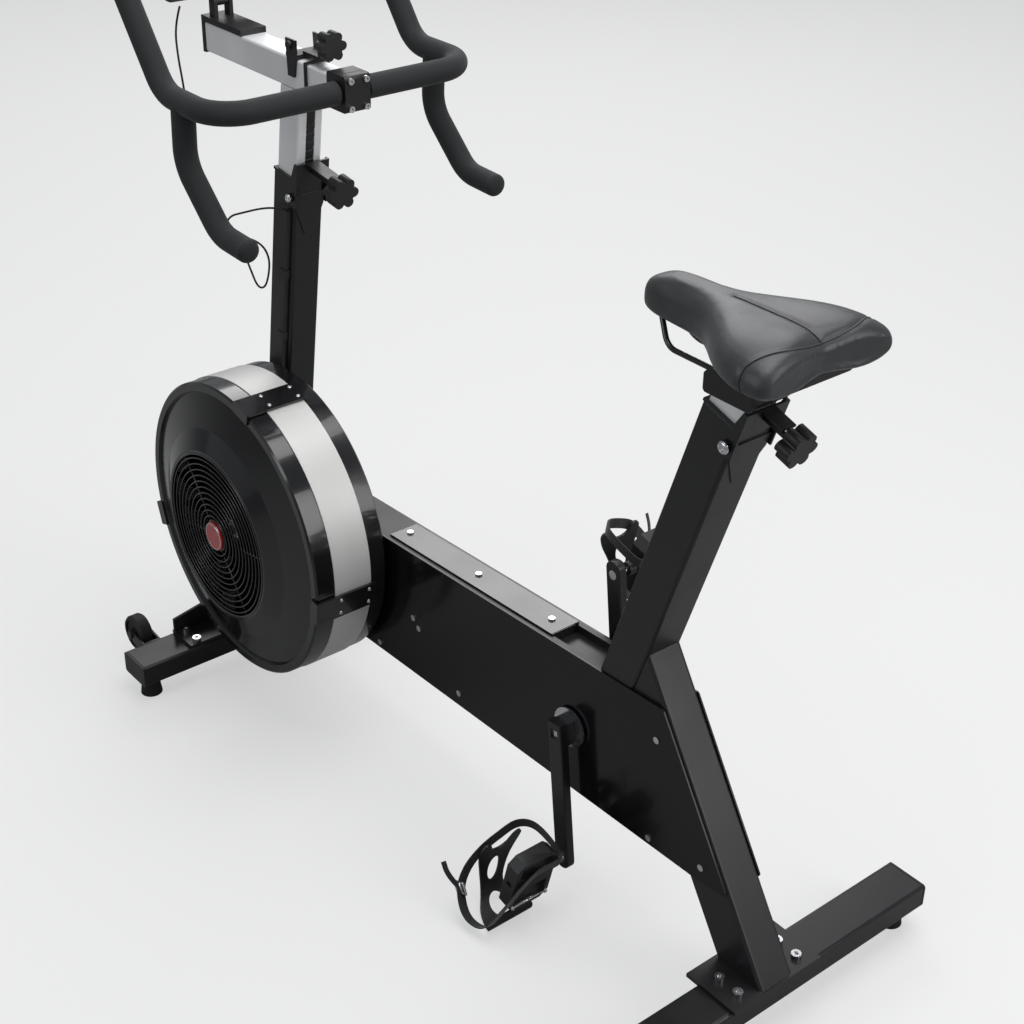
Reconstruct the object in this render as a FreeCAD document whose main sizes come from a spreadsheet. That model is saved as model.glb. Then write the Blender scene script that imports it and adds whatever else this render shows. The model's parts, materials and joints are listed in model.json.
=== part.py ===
import FreeCAD, Part
import math
import os
import Sketcher

# Air-resistance exercise bike. The frame has +X towards the saddle, +Y towards the rider's right,
# +Z up, and its origin on the floor under the middle of the bike. Millimetres throughout.

Vector = FreeCAD.Vector
Rotation = FreeCAD.Rotation
X_AXIS = Vector(1, 0, 0)
Y_AXIS = Vector(0, 1, 0)
Z_AXIS = Vector(0, 0, 1)
LEFT = -1
RIGHT = 1

doc = FreeCAD.newDocument("ExerciseBike")
sheet = doc.addObject("Spreadsheet::Sheet", "Dims")

DIMENSIONS = {
    # Base: distances along X are measured from the bottom bracket.
    "bracket_x": 288.4, "bracket_z": 286,
    "rear_bar_x": 347, "front_bar_x": -789, "bar_length": 610, "bar_width": 66, "bar_height": 38,
    "bar_wall": 2.5, "bar_base_z": 36, "cap_depth": 12, "cap_lip": 3,
    "foot_diameter": 36, "foot_height": 30, "foot_reach": 278, "foot_neck": 12,
    "plate_thickness": 6, "rear_plate_width": 162, "bolt_spread": 55, "bolt_pitch": 17,
    # Frame tubes.
    "frame_width": 62, "tube_wall": 2.5,
    "seat_tube_lean": 18.1, "seat_tube_x": 82, "seat_tube_z": 414, "seat_tube_length": 470,
    "leg_width": 58, "leg_depth": 70,
    "mast_lean": 8.3, "mast_depth": 60, "mast_width": 50, "mast_x": -806,
    "mast_length": 811, "mast_latch_at": 788, "seat_latch_at": 446,
    # Drive case.
    "case_wall": 3, "case_front": -731, "case_top": 405, "case_top_slope": 0.057,
    "case_base": 179, "case_base_slope": 0.033, "panel_thickness": 2.5,
    "cover_front": -440, "cover_rear": -57, "cover_width": 50,
    "shell_diameter": 46, "shell_length": 38, "bearing_outer": 37, "bearing_width": 12,
    "spindle_diameter": 20, "running_gap": 0.04, "pulley_width": 16, "pulley_y": -14,
    "drive_radius": 90, "fan_pulley_radius": 18, "belt_thickness": 3, "belt_gap": 0.4,
    # Cranks and pedals.
    "crank_length": 203, "crank_width": 27, "crank_thickness": 14, "crank_face": 66,
    "crank_top": 18, "crank_foot": 20, "crank_lean": 6.7, "collar_diameter": 60,
    "pedal_width": 72, "pedal_heel": 46, "pedal_toe": 56, "pedal_height": 24, "pedal_reach": 24,
    "pedal_axle": 9, "pedal_tilt": 76,
    # Fan.
    "fan_x": -666, "fan_z": 336, "rim_radius": 242, "band_radius": 243.5, "rim_wall": 3,
    "rim_inner_y": -44, "band_inner_y": -74, "band_outer_y": -139, "rim_outer_y": -172,
    "face_radius": 226, "bevel_radius": 173, "grille_radius": 137, "grille_y": -203,
    "badge_radius": 24, "axle_diameter": 17, "hub_diameter": 42, "vane_radius": 214,
    "vane_count": 24, "strap_width": 40, "wire_pitch": 9.5, "wire_radius": 1.3,
    # Transport wheels.
    "wheel_x": -868, "wheel_y": 252, "wheel_z": 67, "wheel_radius": 31, "wheel_width": 24,
    # Handlebar column.
    "post_depth": 52, "post_width": 42, "post_length": 420,
    "top_tube_height": 46, "top_tube_width": 42, "top_tube_z": 1043, "top_tube_front": -900,
    "top_tube_rear": -630, "slider_height": 38, "slider_width": 34,
    "handlebar_x": -545, "handlebar_half": 213, "bar_diameter": 25.4, "foam_diameter": 34,
    "knob_diameter": 48, "knob_depth": 22,
    # Saddle.
    "seat_post_width": 54, "seat_post_length": 300,
    "rail_diameter": 7, "rail_spread": 44,
}

for row, (alias, value) in enumerate(DIMENSIONS.items(), start=1):
    sheet.set("A%d" % row, alias)
    sheet.set("B%d" % row, str(value))
    sheet.setAlias("B%d" % row, alias)
doc.recompute()

parts = []


def dim(alias):
    """The value of one driving dimension."""
    return float(sheet.get(alias))


BRACKET_X = dim("bracket_x")


def spot(x, y, z):
    """A point whose X is measured from the bottom bracket."""
    return Vector(BRACKET_X + x, y, z)


def keep(piece, label, base=None, rotation=None):
    """Registers a finished piece under the name that its file gets, and puts it in its place."""
    piece.Label = label
    piece.Placement = FreeCAD.Placement(base or Vector(), rotation or Rotation())
    parts.append(piece)
    return piece


# ---------------------------------------------------------------- PartDesign helpers

def new_body(name):
    return doc.addObject("PartDesign::Body", "Body_" + name)


def new_sketch(body, role="XY_Plane", lift=0.0):
    """A sketch on one of the body's own origin planes, moved along that plane's normal."""
    plane = next(p for p in body.Origin.OriginFeatures if p.Role == role)
    sketch = body.newObject("Sketcher::SketchObject", "Sketch")
    sketch.AttachmentSupport = [(plane, "")]
    sketch.MapMode = "FlatFace"
    sketch.AttachmentOffset = FreeCAD.Placement(Vector(0, 0, lift), Rotation())
    return sketch


def bind(sketch, constraint, formula):
    """Adds a constraint and ties its value to a formula over the sheet."""
    index = sketch.addConstraint(constraint)
    sketch.setExpression("Constraints[%d]" % index, formula)


def draw_outline(sketch, points):
    """A closed outline of straight lines."""
    first = sketch.GeometryCount
    count = len(points)
    for i in range(count):
        start = Vector(*points[i], 0)
        end = Vector(*points[(i + 1) % count], 0)
        sketch.addGeometry(Part.LineSegment(start, end))
    for i in range(count):
        here = first + i
        after = first + (i + 1) % count
        sketch.addConstraint(Sketcher.Constraint("Coincident", here, 2, after, 1))


def draw_rectangle(sketch, width, height):
    """A rectangle centred on the sketch's origin, its two sizes tied to formulas."""
    first = sketch.GeometryCount
    draw_outline(sketch, [(-10, -10), (10, -10), (10, 10), (-10, 10)])
    for i in (0, 2):
        sketch.addConstraint(Sketcher.Constraint("Horizontal", first + i))
    for i in (1, 3):
        sketch.addConstraint(Sketcher.Constraint("Vertical", first + i))
    sketch.addConstraint(Sketcher.Constraint("Symmetric", first, 1, first + 1, 2, -1, 1))
    bind(sketch, Sketcher.Constraint("DistanceX", first, 1, first, 2, 20), width)
    bind(sketch, Sketcher.Constraint("DistanceY", first + 1, 1, first + 1, 2, 20), height)


def draw_circle(sketch, diameter, at=(0, 0)):
    """A circle whose diameter is tied to a formula."""
    index = sketch.addGeometry(Part.Circle(Vector(*at, 0), Z_AXIS, 5))
    if at == (0, 0):
        sketch.addConstraint(Sketcher.Constraint("Coincident", index, 3, -1, 1))
    else:
        sketch.addConstraint(Sketcher.Constraint("DistanceX", -1, 1, index, 3, at[0]))
        sketch.addConstraint(Sketcher.Constraint("DistanceY", -1, 1, index, 3, at[1]))
    bind(sketch, Sketcher.Constraint("Diameter", index, 10), diameter)


def pad(body, sketch, length, symmetric=False):
    feature = body.newObject("PartDesign::Pad", "Pad")
    feature.Profile = sketch
    feature.SideType = "Symmetric" if symmetric else "One side"
    feature.setExpression("Length", length)
    return feature


def pocket_all(body, sketch):
    """A symmetric pocket that goes right through, checked to have taken material away."""
    doc.recompute()
    before = body.Shape.Volume
    feature = body.newObject("PartDesign::Pocket", "Pocket")
    feature.Profile = sketch
    feature.SideType = "Symmetric"
    feature.Length = 2000
    doc.recompute()
    if body.Shape.Volume >= before:
        raise RuntimeError(body.Label + ": a pocket cut nothing")
    return feature


def body_pocket(body, sketch, length):
    """A symmetric pocket of a set depth."""
    feature = body.newObject("PartDesign::Pocket", "Pocket")
    feature.Profile = sketch
    feature.SideType = "Symmetric"
    feature.Length = length
    doc.recompute()
    return feature


def revolve(body, outline):
    """A full turn of a half outline of (radius, height) points about the body's Z axis."""
    sketch = new_sketch(body, "XZ_Plane")
    draw_outline(sketch, outline)
    feature = body.newObject("PartDesign::Revolution", "Revolution")
    feature.Profile = sketch
    feature.ReferenceAxis = (sketch, ["V_Axis"])
    feature.Angle = 360
    return feature


def round_edges(body, radius, wanted):
    """Fillets the edges of the body's present solid that pass the test."""
    doc.recompute()
    tip = body.Tip
    names = ["Edge%d" % (i + 1) for i, edge in enumerate(tip.Shape.Edges) if wanted(edge)]
    feature = body.newObject("PartDesign::Fillet", "Fillet")
    feature.Base = (tip, names)
    feature.Radius = radius
    return feature


def runs_along(axis):
    """A test for straight edges parallel to an axis."""
    def test(edge):
        if edge.Curve.TypeId != "Part::GeomLine":
            return False
        return abs(abs(edge.Curve.Direction.dot(axis)) - 1) < 1e-6
    return test


def box_tube(name, width, depth, wall, length, corner=5.0):
    """A rounded rectangular tube along its own Z: width along X, depth along Y."""
    body = new_body(name)
    sketch = new_sketch(body)
    draw_rectangle(sketch, width, depth)
    pad(body, sketch, length)
    round_edges(body, corner, runs_along(Z_AXIS))
    inner = new_sketch(body)
    draw_rectangle(inner, "%s - 2 * (%s)" % (width, wall), "%s - 2 * (%s)" % (depth, wall))
    pocket_all(body, inner)
    return body


# ---------------------------------------------------------------- Part helpers

def solid(shape, label):
    """A piece whose shape is worked out directly; its placement is set after its shape."""
    piece = doc.addObject("Part::Feature", "Shape_" + label)
    piece.Shape = shape
    return piece


def cylinder(radius, length, base, axis):
    return Part.makeCylinder(radius, length, base, axis)


def block(low, high):
    size = high - low
    return Part.makeBox(size.x, size.y, size.z, low)


def group(shapes, label):
    """Several separate pieces of one kind that share a node."""
    return keep(solid(Part.makeCompound(shapes), label), label)


def bent_wire(points, share=0.45, largest=None):
    """Straight runs joined by tangent arcs; returns the wire, its length and the arc radii."""
    edges = []
    radii = []
    start = points[0]
    for i in range(1, len(points) - 1):
        back = points[i - 1] - points[i]
        ahead = points[i + 1] - points[i]
        half_turn = (math.pi - back.getAngle(ahead)) / 2
        reach = share * min(back.Length, ahead.Length)
        radius = reach / math.tan(half_turn)
        if largest and radius > largest:
            radius = largest
            reach = radius * math.tan(half_turn)
        radii.append(radius)
        back.normalize()
        ahead.normalize()
        first = points[i] + back * reach
        last = points[i] + ahead * reach
        inward = back + ahead
        inward.normalize()
        depth = radius / math.cos(half_turn) - radius
        edges.append(Part.LineSegment(start, first).toShape())
        edges.append(Part.Arc(first, points[i] + inward * depth, last).toShape())
        start = last
    edges.append(Part.LineSegment(start, points[-1]).toShape())
    wire = Part.Wire(edges)
    return wire, radii


def pipe(points, radius, largest=None):
    """A round bar along a bent path."""
    wire, radii = bent_wire(points, largest=largest)
    direction = points[1] - points[0]
    ring = Part.Wire([Part.makeCircle(radius, points[0], direction)])
    return wire.makePipeShell([ring], True, False), wire, radii


def band_along(points, radius_limit, thickness, width, across):
    """A flat strip along a bent path in a plane; across is the direction of its width."""
    wire, _ = bent_wire(points, largest=radius_limit)
    along = points[1] - points[0]
    along.normalize()
    normal = along.cross(across)
    normal.normalize()
    corners = [points[0] + normal * (u * thickness / 2) + across * (v * width / 2)
               for u, v in ((-1, -1), (1, -1), (1, 1), (-1, 1))]
    profile = Part.makePolygon(corners + [corners[0]])
    return wire.makePipeShell([profile], True, False)


def lobed_knob(base, length, diameter, stud_length, stud_radius):
    """A six-lobed hand knob along +X; its stud starts at the base point."""
    reach = diameter / 2
    start = base + X_AXIS * stud_length
    knob = cylinder(reach * 0.72, length, start, X_AXIS)
    for i in range(6):
        angle = math.radians(60 * i)
        middle = start + Vector(0, math.cos(angle), math.sin(angle)) * reach * 0.68
        knob = knob.fuse(cylinder(reach * 0.32, length, middle, X_AXIS))
    stud = cylinder(stud_radius, stud_length + length / 2, base, X_AXIS)
    return knob.fuse(stud).removeSplitter()


def ring(inner, outer, low, high, centre, axis):
    """A flat ring about an axis, from one height to another along it."""
    base = centre + axis * low
    whole = cylinder(outer, high - low, base, axis)
    return whole.cut(cylinder(inner, high - low, base, axis))


def screw(head_point, direction, head_radius, head_height, shank_radius, shank_length):
    """A socket screw: the head stands against the direction in which the shank is driven."""
    head = cylinder(head_radius, head_height, head_point - direction * head_height, direction)
    socket = cylinder(head_radius * 0.45, head_height * 0.6,
                      head_point - direction * head_height, direction)
    shank = cylinder(shank_radius, shank_length, head_point, direction)
    return head.cut(socket).fuse(shank)


# ---------------------------------------------------------------- Lines of the side view

def line_at(x, z, dx, dz):
    return (x, z), (dx, dz)


def meet(one, other):
    """Where two lines of the side view cross."""
    (x1, z1), (dx1, dz1) = one
    (x2, z2), (dx2, dz2) = other
    scale = ((x2 - x1) * dz2 - (z2 - z1) * dx2) / (dx1 * dz2 - dz1 * dx2)
    return x1 + dx1 * scale, z1 + dz1 * scale


def beside(line, distance):
    """The same line moved sideways, to the right of its direction."""
    (x, z), (dx, dz) = line
    size = math.hypot(dx, dz)
    return (x + dz / size * distance, z - dx / size * distance), (dx, dz)


def inset(points, amount):
    """A convex outline, listed anticlockwise, moved in by an even amount."""
    sides = []
    for i, point in enumerate(points):
        after = points[(i + 1) % len(points)]
        side = line_at(*point, after[0] - point[0], after[1] - point[1])
        sides.append(beside(side, -amount))
    return [meet(sides[i - 1], sides[i]) for i in range(len(points))]


def tilt(lean):
    return math.sin(math.radians(lean)), math.cos(math.radians(lean))


FLOOR_PLATE = dim("bar_base_z") + dim("bar_height") + dim("plate_thickness")
CASE_TOP = line_at(0, dim("case_top"), 1, dim("case_top_slope"))
CASE_BASE = line_at(0, dim("case_base"), 1, dim("case_base_slope"))
PLATE_TOP = line_at(0, FLOOR_PLATE, 1, 0)
SEAT_AXIS = line_at(dim("seat_tube_x"), dim("seat_tube_z"), *tilt(dim("seat_tube_lean")))
SEAT_FRONT = beside(SEAT_AXIS, -dim("frame_width") / 2)
SEAT_REAR = beside(SEAT_AXIS, dim("frame_width") / 2)
MAST_AXIS = line_at(dim("mast_x"), FLOOR_PLATE, *tilt(dim("mast_lean")))
MAST_FRONT = beside(MAST_AXIS, -dim("mast_depth") / 2)
MAST_REAR = beside(MAST_AXIS, dim("mast_depth") / 2)
LEG_REAR = line_at(382, FLOOR_PLATE, *tilt(-32))
LEG_FRONT = beside(LEG_REAR, -dim("leg_depth"))


def along(line, distance):
    (x, z), (dx, dz) = line
    return x + dx * distance, z + dz * distance


def square_to(line, distance):
    """The line square to another one at a distance along it."""
    x, z = along(line, distance)
    dx, dz = line[1]
    return line_at(x, z, dz, -dx)


def side_body(name, outline, width, y=0.0, corner=0.0, axis=None):
    """A body whose side outline is padded across the bike, half to each side of y."""
    body = new_body(name)
    sketch = new_sketch(body, "XZ_Plane", -y)
    draw_outline(sketch, outline)
    pad(body, sketch, width, symmetric=True)
    if corner:
        round_edges(body, corner, runs_along(axis))
    return body


def side_pocket(body, outline, length, y=0.0, circle=None):
    """Takes a side outline, or a round hole (x, z, diameter), away over a width about y."""
    doc.recompute()
    before = body.Shape.Volume
    sketch = new_sketch(body, "XZ_Plane", -y)
    if circle:
        x, z, diameter = circle
        draw_circle(sketch, diameter, (x, z))
    else:
        draw_outline(sketch, outline)
    feature = body.newObject("PartDesign::Pocket", "Pocket")
    feature.Profile = sketch
    feature.SideType = "Symmetric"
    feature.setExpression("Length", length)
    doc.recompute()
    if body.Shape.Volume >= before - 1:
        raise RuntimeError(body.Name + ": a pocket cut nothing")


def side_pad(body, length, y, circle):
    sketch = new_sketch(body, "XZ_Plane", -y)
    x, z, diameter = circle
    draw_circle(sketch, diameter, (x, z))
    pad(body, sketch, length, symmetric=True)


def leaning_tube(name, outline, bore, width, wall, axis_line, corner=5.0):
    """A hollow tube that leans in the side view; the bore outline runs past its open ends."""
    dx, dz = axis_line[1]
    body = side_body(name, outline, width, corner=corner, axis=Vector(dx, 0, dz))
    side_pocket(body, bore, "%s - 2 * %s" % (width, wall))
    return body


# ---------------------------------------------------------------- Base

def make_base():
    half = dim("bar_length") / 2
    lip = dim("cap_lip")
    middle_z = dim("bar_base_z") + dim("bar_height") / 2
    caps = []
    feet = []
    foot_half = dim("foot_diameter") / 2
    for label, x in (("rear_stabiliser", dim("rear_bar_x")), ("front_stabiliser", dim("front_bar_x"))):
        tube = box_tube(label, "Dims.bar_width", "Dims.bar_height", "Dims.bar_wall",
                        "Dims.bar_length - 2 * Dims.cap_lip")
        keep(tube, label, spot(x, lip - half, middle_z), Rotation(X_AXIS, -90))
        wide = dim("bar_width") / 2
        tall = dim("bar_height") / 2
        wall = dim("bar_wall") + 0.1
        for side in (LEFT, RIGHT):
            outer = block(Vector(-wide, 0, -tall), Vector(wide, lip, tall))
            plug = block(Vector(wall - wide, -dim("cap_depth"), wall - tall),
                         Vector(wide - wall, 0, tall - wall))
            plug = plug.cut(block(Vector(wall + 3 - wide, -dim("cap_depth"), wall + 3 - tall),
                                  Vector(wide - wall - 3, -2, tall - wall - 3)))
            cap = outer.fuse(plug).removeSplitter()
            upright = [edge for edge in cap.Edges if runs_along(Y_AXIS)(edge)
                       and abs(abs(edge.CenterOfMass.x) - wide) < 0.01]
            cap = cap.makeFillet(5.0, upright)
            turn = Rotation() if side == RIGHT else Rotation(Z_AXIS, 180)
            cap.Placement = FreeCAD.Placement(spot(x, side * (half - lip), middle_z), turn)
            caps.append(cap)
            centre = spot(x, side * dim("foot_reach"), 0)
            pad_height = dim("foot_height") - 6
            foot = Part.makeCone(foot_half, foot_half - 3, pad_height, centre)
            foot = foot.fuse(cylinder(dim("foot_neck") / 2, dim("bar_base_z") - pad_height,
                                      centre + Z_AXIS * pad_height, Z_AXIS))
            feet.append(foot.removeSplitter())
    group(caps, "stabiliser_caps")
    group(feet, "rubber_feet")


def make_rear_leg():
    outline = [meet(LEG_FRONT, PLATE_TOP), meet(LEG_REAR, PLATE_TOP), meet(LEG_REAR, SEAT_REAR),
               meet(SEAT_REAR, CASE_TOP), meet(LEG_FRONT, CASE_TOP)]
    dx, dz = LEG_REAR[1]
    body = side_body("leg", outline, "Dims.leg_width", corner=5.0, axis=Vector(dx, 0, dz))
    bore = inset(outline, dim("tube_wall"))
    below = line_at(0, FLOOR_PLATE - 30, 1, 0)
    bore[0] = meet(beside(LEG_FRONT, dim("tube_wall")), below)
    bore[1] = meet(beside(LEG_REAR, -dim("tube_wall")), below)
    side_pocket(body, bore, "Dims.leg_width - 2 * Dims.tube_wall")
    doc.recompute()
    front = outline[0][0] - 4
    rear = outline[1][0] + 3
    half = dim("rear_plate_width") / 2
    low = FLOOR_PLATE - dim("plate_thickness")
    plate = block(Vector(front, -half, low), Vector(rear, half, FLOOR_PLATE))
    for y in (-dim("bolt_spread"), dim("bolt_spread")):
        for step in (-dim("bolt_pitch"), dim("bolt_pitch")):
            at = Vector(dim("rear_bar_x") + step, y, low - 1)
            plate = plate.cut(cylinder(4.1, dim("plate_thickness") + 2, at, Z_AXIS))
    plate_piece = solid(plate, "leg_plate")
    welded = doc.addObject("Part::Fuse", "LegWithPlate")
    welded.Base = body
    welded.Tool = plate_piece
    doc.recompute()
    keep(welded, "rear_leg", spot(0, 0, 0))


def with_latch_plate(body, label, axis_line, distance, lean, depth, width):
    """Welds the V-shaped latch plate on the rear face of a leaning tube."""
    half = width / 2
    low_x = depth / 2
    corners = [Vector(low_x, -half, 4), Vector(low_x, half, 4), Vector(low_x, half, -16),
               Vector(low_x, 7, -64), Vector(low_x, -7, -64), Vector(low_x, -half, -16)]
    plate = Part.Face(Part.makePolygon(corners + [corners[0]])).extrude(X_AXIS * 2)
    x, z = along(axis_line, distance)
    plate.Placement = FreeCAD.Placement(Vector(x, 0, z), Rotation(Y_AXIS, lean))
    welded = doc.addObject("Part::Fuse", "Welded_" + label)
    welded.Base = body
    welded.Tool = solid(plate, label + "_plate")
    doc.recompute()
    return welded


def make_seat_tube():
    end = square_to(SEAT_AXIS, dim("seat_tube_length"))
    outline = [meet(SEAT_FRONT, CASE_TOP), meet(SEAT_REAR, CASE_TOP), meet(SEAT_REAR, end),
               meet(SEAT_FRONT, end)]
    past = square_to(SEAT_AXIS, dim("seat_tube_length") + 30)
    under = line_at(0, dim("case_top") - 60, 1, 0)
    front = beside(SEAT_FRONT, dim("tube_wall"))
    rear = beside(SEAT_REAR, -dim("tube_wall"))
    bore = [meet(front, under), meet(rear, under), meet(rear, past), meet(front, past)]
    tube = leaning_tube("seat_tube", outline, bore, "Dims.frame_width", "Dims.tube_wall", SEAT_AXIS)
    tube = with_latch_plate(tube, "seat_tube", SEAT_AXIS, dim("seat_latch_at"), dim("seat_tube_lean"),
                            dim("frame_width"), dim("frame_width"))
    keep(tube, "seat_tube", spot(0, 0, 0))


def make_mast_tube():
    end = square_to(MAST_AXIS, dim("mast_length"))
    outline = [meet(MAST_FRONT, PLATE_TOP), meet(MAST_REAR, PLATE_TOP), meet(MAST_REAR, end),
               meet(MAST_FRONT, end)]
    past = square_to(MAST_AXIS, dim("mast_length") + 30)
    under = line_at(0, 0, 1, 0)
    front = beside(MAST_FRONT, dim("tube_wall"))
    rear = beside(MAST_REAR, -dim("tube_wall"))
    bore = [meet(front, under), meet(rear, under), meet(rear, past), meet(front, past)]
    tube = leaning_tube("mast_tube", outline, bore, "Dims.mast_width", "Dims.tube_wall", MAST_AXIS)
    tube = with_latch_plate(tube, "mast_tube", MAST_AXIS, dim("mast_latch_at"), dim("mast_lean"),
                            dim("mast_depth"), dim("mast_width"))
    keep(tube, "mast_tube", spot(0, 0, 0))


def make_front_bracket():
    low = FLOOR_PLATE - dim("plate_thickness")
    middle = dim("front_bar_x")
    reach = 213
    plate = block(Vector(middle - 32, -reach, low), Vector(middle + 30, reach, FLOOR_PLATE))
    for side in (LEFT, RIGHT):
        outer = side * reach
        inner = side * (dim("mast_width") / 2 + 0.1)
        corners = [Vector(middle - 28, outer, FLOOR_PLATE), Vector(middle - 28, outer, FLOOR_PLATE + 24),
                   Vector(middle - 28, inner, FLOOR_PLATE + 60), Vector(middle - 28, inner, FLOOR_PLATE)]
        gusset = Part.Face(Part.makePolygon(corners + [corners[0]])).extrude(X_AXIS * 5)
        plate = plate.fuse(gusset)
        for step in (-dim("bolt_pitch"), dim("bolt_pitch")):
            at = Vector(middle + step + 3, side * 196, low - 1)
            plate = plate.cut(cylinder(4.1, dim("plate_thickness") + 2, at, Z_AXIS))
    keep(solid(plate.removeSplitter(), "front_bracket"), "front_bracket", spot(0, 0, 0))


# ---------------------------------------------------------------- Drive case

CASE_Y = -1
SHELL_Y = 17


def make_case():
    outline = [meet(MAST_REAR, CASE_BASE), meet(LEG_FRONT, CASE_BASE), meet(LEG_FRONT, CASE_TOP),
               meet(MAST_REAR, CASE_TOP)]
    body = side_body("case", outline, "Dims.frame_width - 2", y=CASE_Y)
    wall = dim("case_wall")
    walls = inset(outline, wall)
    step_x = dim("cover_rear") - 5
    low_top = beside(CASE_TOP, 16)
    step_line = line_at(step_x, 0, 0, 1)
    inner = [walls[0], walls[1], meet(beside(LEG_FRONT, -wall), low_top), meet(step_line, low_top),
             meet(step_line, beside(CASE_TOP, wall)), walls[3]]
    side_pocket(body, inner, "Dims.frame_width - 2", y=CASE_Y - wall)
    recess_front = line_at(dim("cover_rear"), 0, 0, 1)
    recess_rear = line_at(meet(SEAT_FRONT, CASE_TOP)[0] - 2, 0, 0, 1)
    above = beside(CASE_TOP, -5)
    floor = beside(CASE_TOP, 12)
    recess = [meet(recess_front, floor), meet(recess_rear, floor), meet(recess_rear, above),
              meet(recess_front, above)]
    side_pocket(body, recess, "Dims.frame_width - 18", y=CASE_Y)
    bracket_z = dim("bracket_z")
    fan = (dim("fan_x"), dim("fan_z"))
    side_pad(body, "Dims.shell_length", SHELL_Y, (0, bracket_z, "Dims.shell_diameter"))
    side_pad(body, "12 mm", 23, (*fan, "Dims.hub_diameter - 4"))
    side_pocket(body, None, "200 mm", circle=(0, bracket_z, "Dims.bearing_outer"))
    side_pocket(body, None, "200 mm", circle=(*fan, "Dims.axle_diameter + 0.1"))
    keep(body, "main_beam", spot(0, 0, 0))


def panel_outline():
    leg_point = meet(LEG_REAR, line_at(0, 193, 1, 0))
    corner = meet(CASE_BASE, line_at(244, 0, 0, 1))
    front = line_at(dim("case_front"), 0, 0, 1)
    return [meet(front, CASE_BASE), corner, leg_point, meet(LEG_REAR, CASE_TOP), meet(front, CASE_TOP)]


def make_panels():
    thickness = dim("panel_thickness")
    left_face = dim("frame_width") / 2 + thickness / 2
    right_face = dim("frame_width") / 2 - 2 + thickness / 2
    for label, y, hub in (("panel_left", -left_face, "Dims.hub_diameter + 12"),
                          ("panel_right", right_face, "Dims.hub_diameter - 3")):
        body = side_body(label, panel_outline(), "Dims.panel_thickness", y=y, corner=5.0, axis=Y_AXIS)
        bore = "Dims.shell_diameter + 1" if label == "panel_right" else "Dims.spindle_diameter + 8"
        side_pocket(body, None, "200 mm", circle=(0, dim("bracket_z"), bore))
        side_pocket(body, None, "200 mm", circle=(dim("fan_x"), dim("fan_z"), hub))
        keep(body, label, spot(0, 0, 0))


def make_top_cover():
    front = line_at(dim("cover_front"), 0, 0, 1)
    rear = line_at(dim("cover_rear"), 0, 0, 1)
    above = beside(CASE_TOP, -3)
    outline = [meet(front, CASE_TOP), meet(rear, CASE_TOP), meet(rear, above), meet(front, above)]
    body = side_body("cover", outline, "Dims.cover_width")
    keep(body, "top_cover", spot(0, 0, 0))


def make_drive():
    fan_x = dim("fan_x")
    fan_z = dim("fan_z")
    bracket_z = dim("bracket_z")
    width = dim("bearing_width")
    shell_left = SHELL_Y - dim("shell_length") / 2
    shell_right = SHELL_Y + dim("shell_length") / 2
    fit = dim("running_gap")
    centre = spot(0, 0, bracket_z)
    fan_centre = spot(fan_x, 0, fan_z)
    outer = dim("bearing_outer") / 2
    inner = dim("spindle_diameter") / 2 + fit
    axle = dim("axle_diameter") / 2
    rings = [ring(inner, outer, shell_left, shell_left + width, centre, Y_AXIS),
             ring(inner, outer, shell_right - width, shell_right, centre, Y_AXIS),
             ring(axle, 17.5, -40, -30, fan_centre, Y_AXIS),
             ring(axle, 17.5, -167, -157, fan_centre, Y_AXIS)]
    group(rings, "bearings")

    spindle = new_body("spindle")
    shaft = dim("spindle_diameter") / 2
    collar = dim("collar_diameter") / 2
    revolve(spindle, [(0, -52), (shaft, -52), (shaft, -39.8), (collar, -39.8), (collar, -36.8),
                      (shaft, -36.8), (shaft, 36.8), (collar, 36.8), (collar, 39.8),
                      (shaft, 39.8), (shaft, 52), (0, 52)])
    for lift in (-57.5, 57.5):
        tenon = new_sketch(spindle, "XY_Plane", lift)
        draw_rectangle(tenon, "14 mm", "14 mm")
        pad(spindle, tenon, "11 mm", symmetric=True)
    turn = Rotation(Y_AXIS, -dim("crank_lean")).multiply(Rotation(X_AXIS, 90))
    keep(spindle, "crank_spindle", centre, turn)

    pulley = new_body("drive_pulley")
    rim = dim("drive_radius")
    half = dim("pulley_width") / 2
    revolve(pulley, [(shaft, -half), (24, -half), (24, -3), (rim - 7, -3), (rim - 7, -half), (rim, -half),
                     (rim, half), (rim - 7, half), (rim - 7, 3), (24, 3), (24, half), (shaft, half)])
    holes = new_sketch(pulley, "XY_Plane")
    draw_circle(holes, "30 mm", (53, 0))
    cut = body_pocket(pulley, holes, 40)
    pattern = pulley.newObject("PartDesign::PolarPattern", "Spokes")
    pattern.Originals = [cut]
    pattern.Axis = (holes, ["N_Axis"])
    pattern.Angle = 360
    pattern.Occurrences = 6
    pulley.Tip = pattern
    keep(pulley, "drive_pulley", centre + Y_AXIS * dim("pulley_y"), Rotation(X_AXIS, 90))

    loops = []
    for extra in (dim("belt_gap"), dim("belt_gap") + dim("belt_thickness")):
        loops.append(belt_loop(rim + extra, dim("fan_pulley_radius") + extra, half - 1))
    belt = loops[1].cut(loops[0])
    keep(solid(belt, "belt"), "drive_belt", spot(0, dim("pulley_y"), bracket_z))


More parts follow.
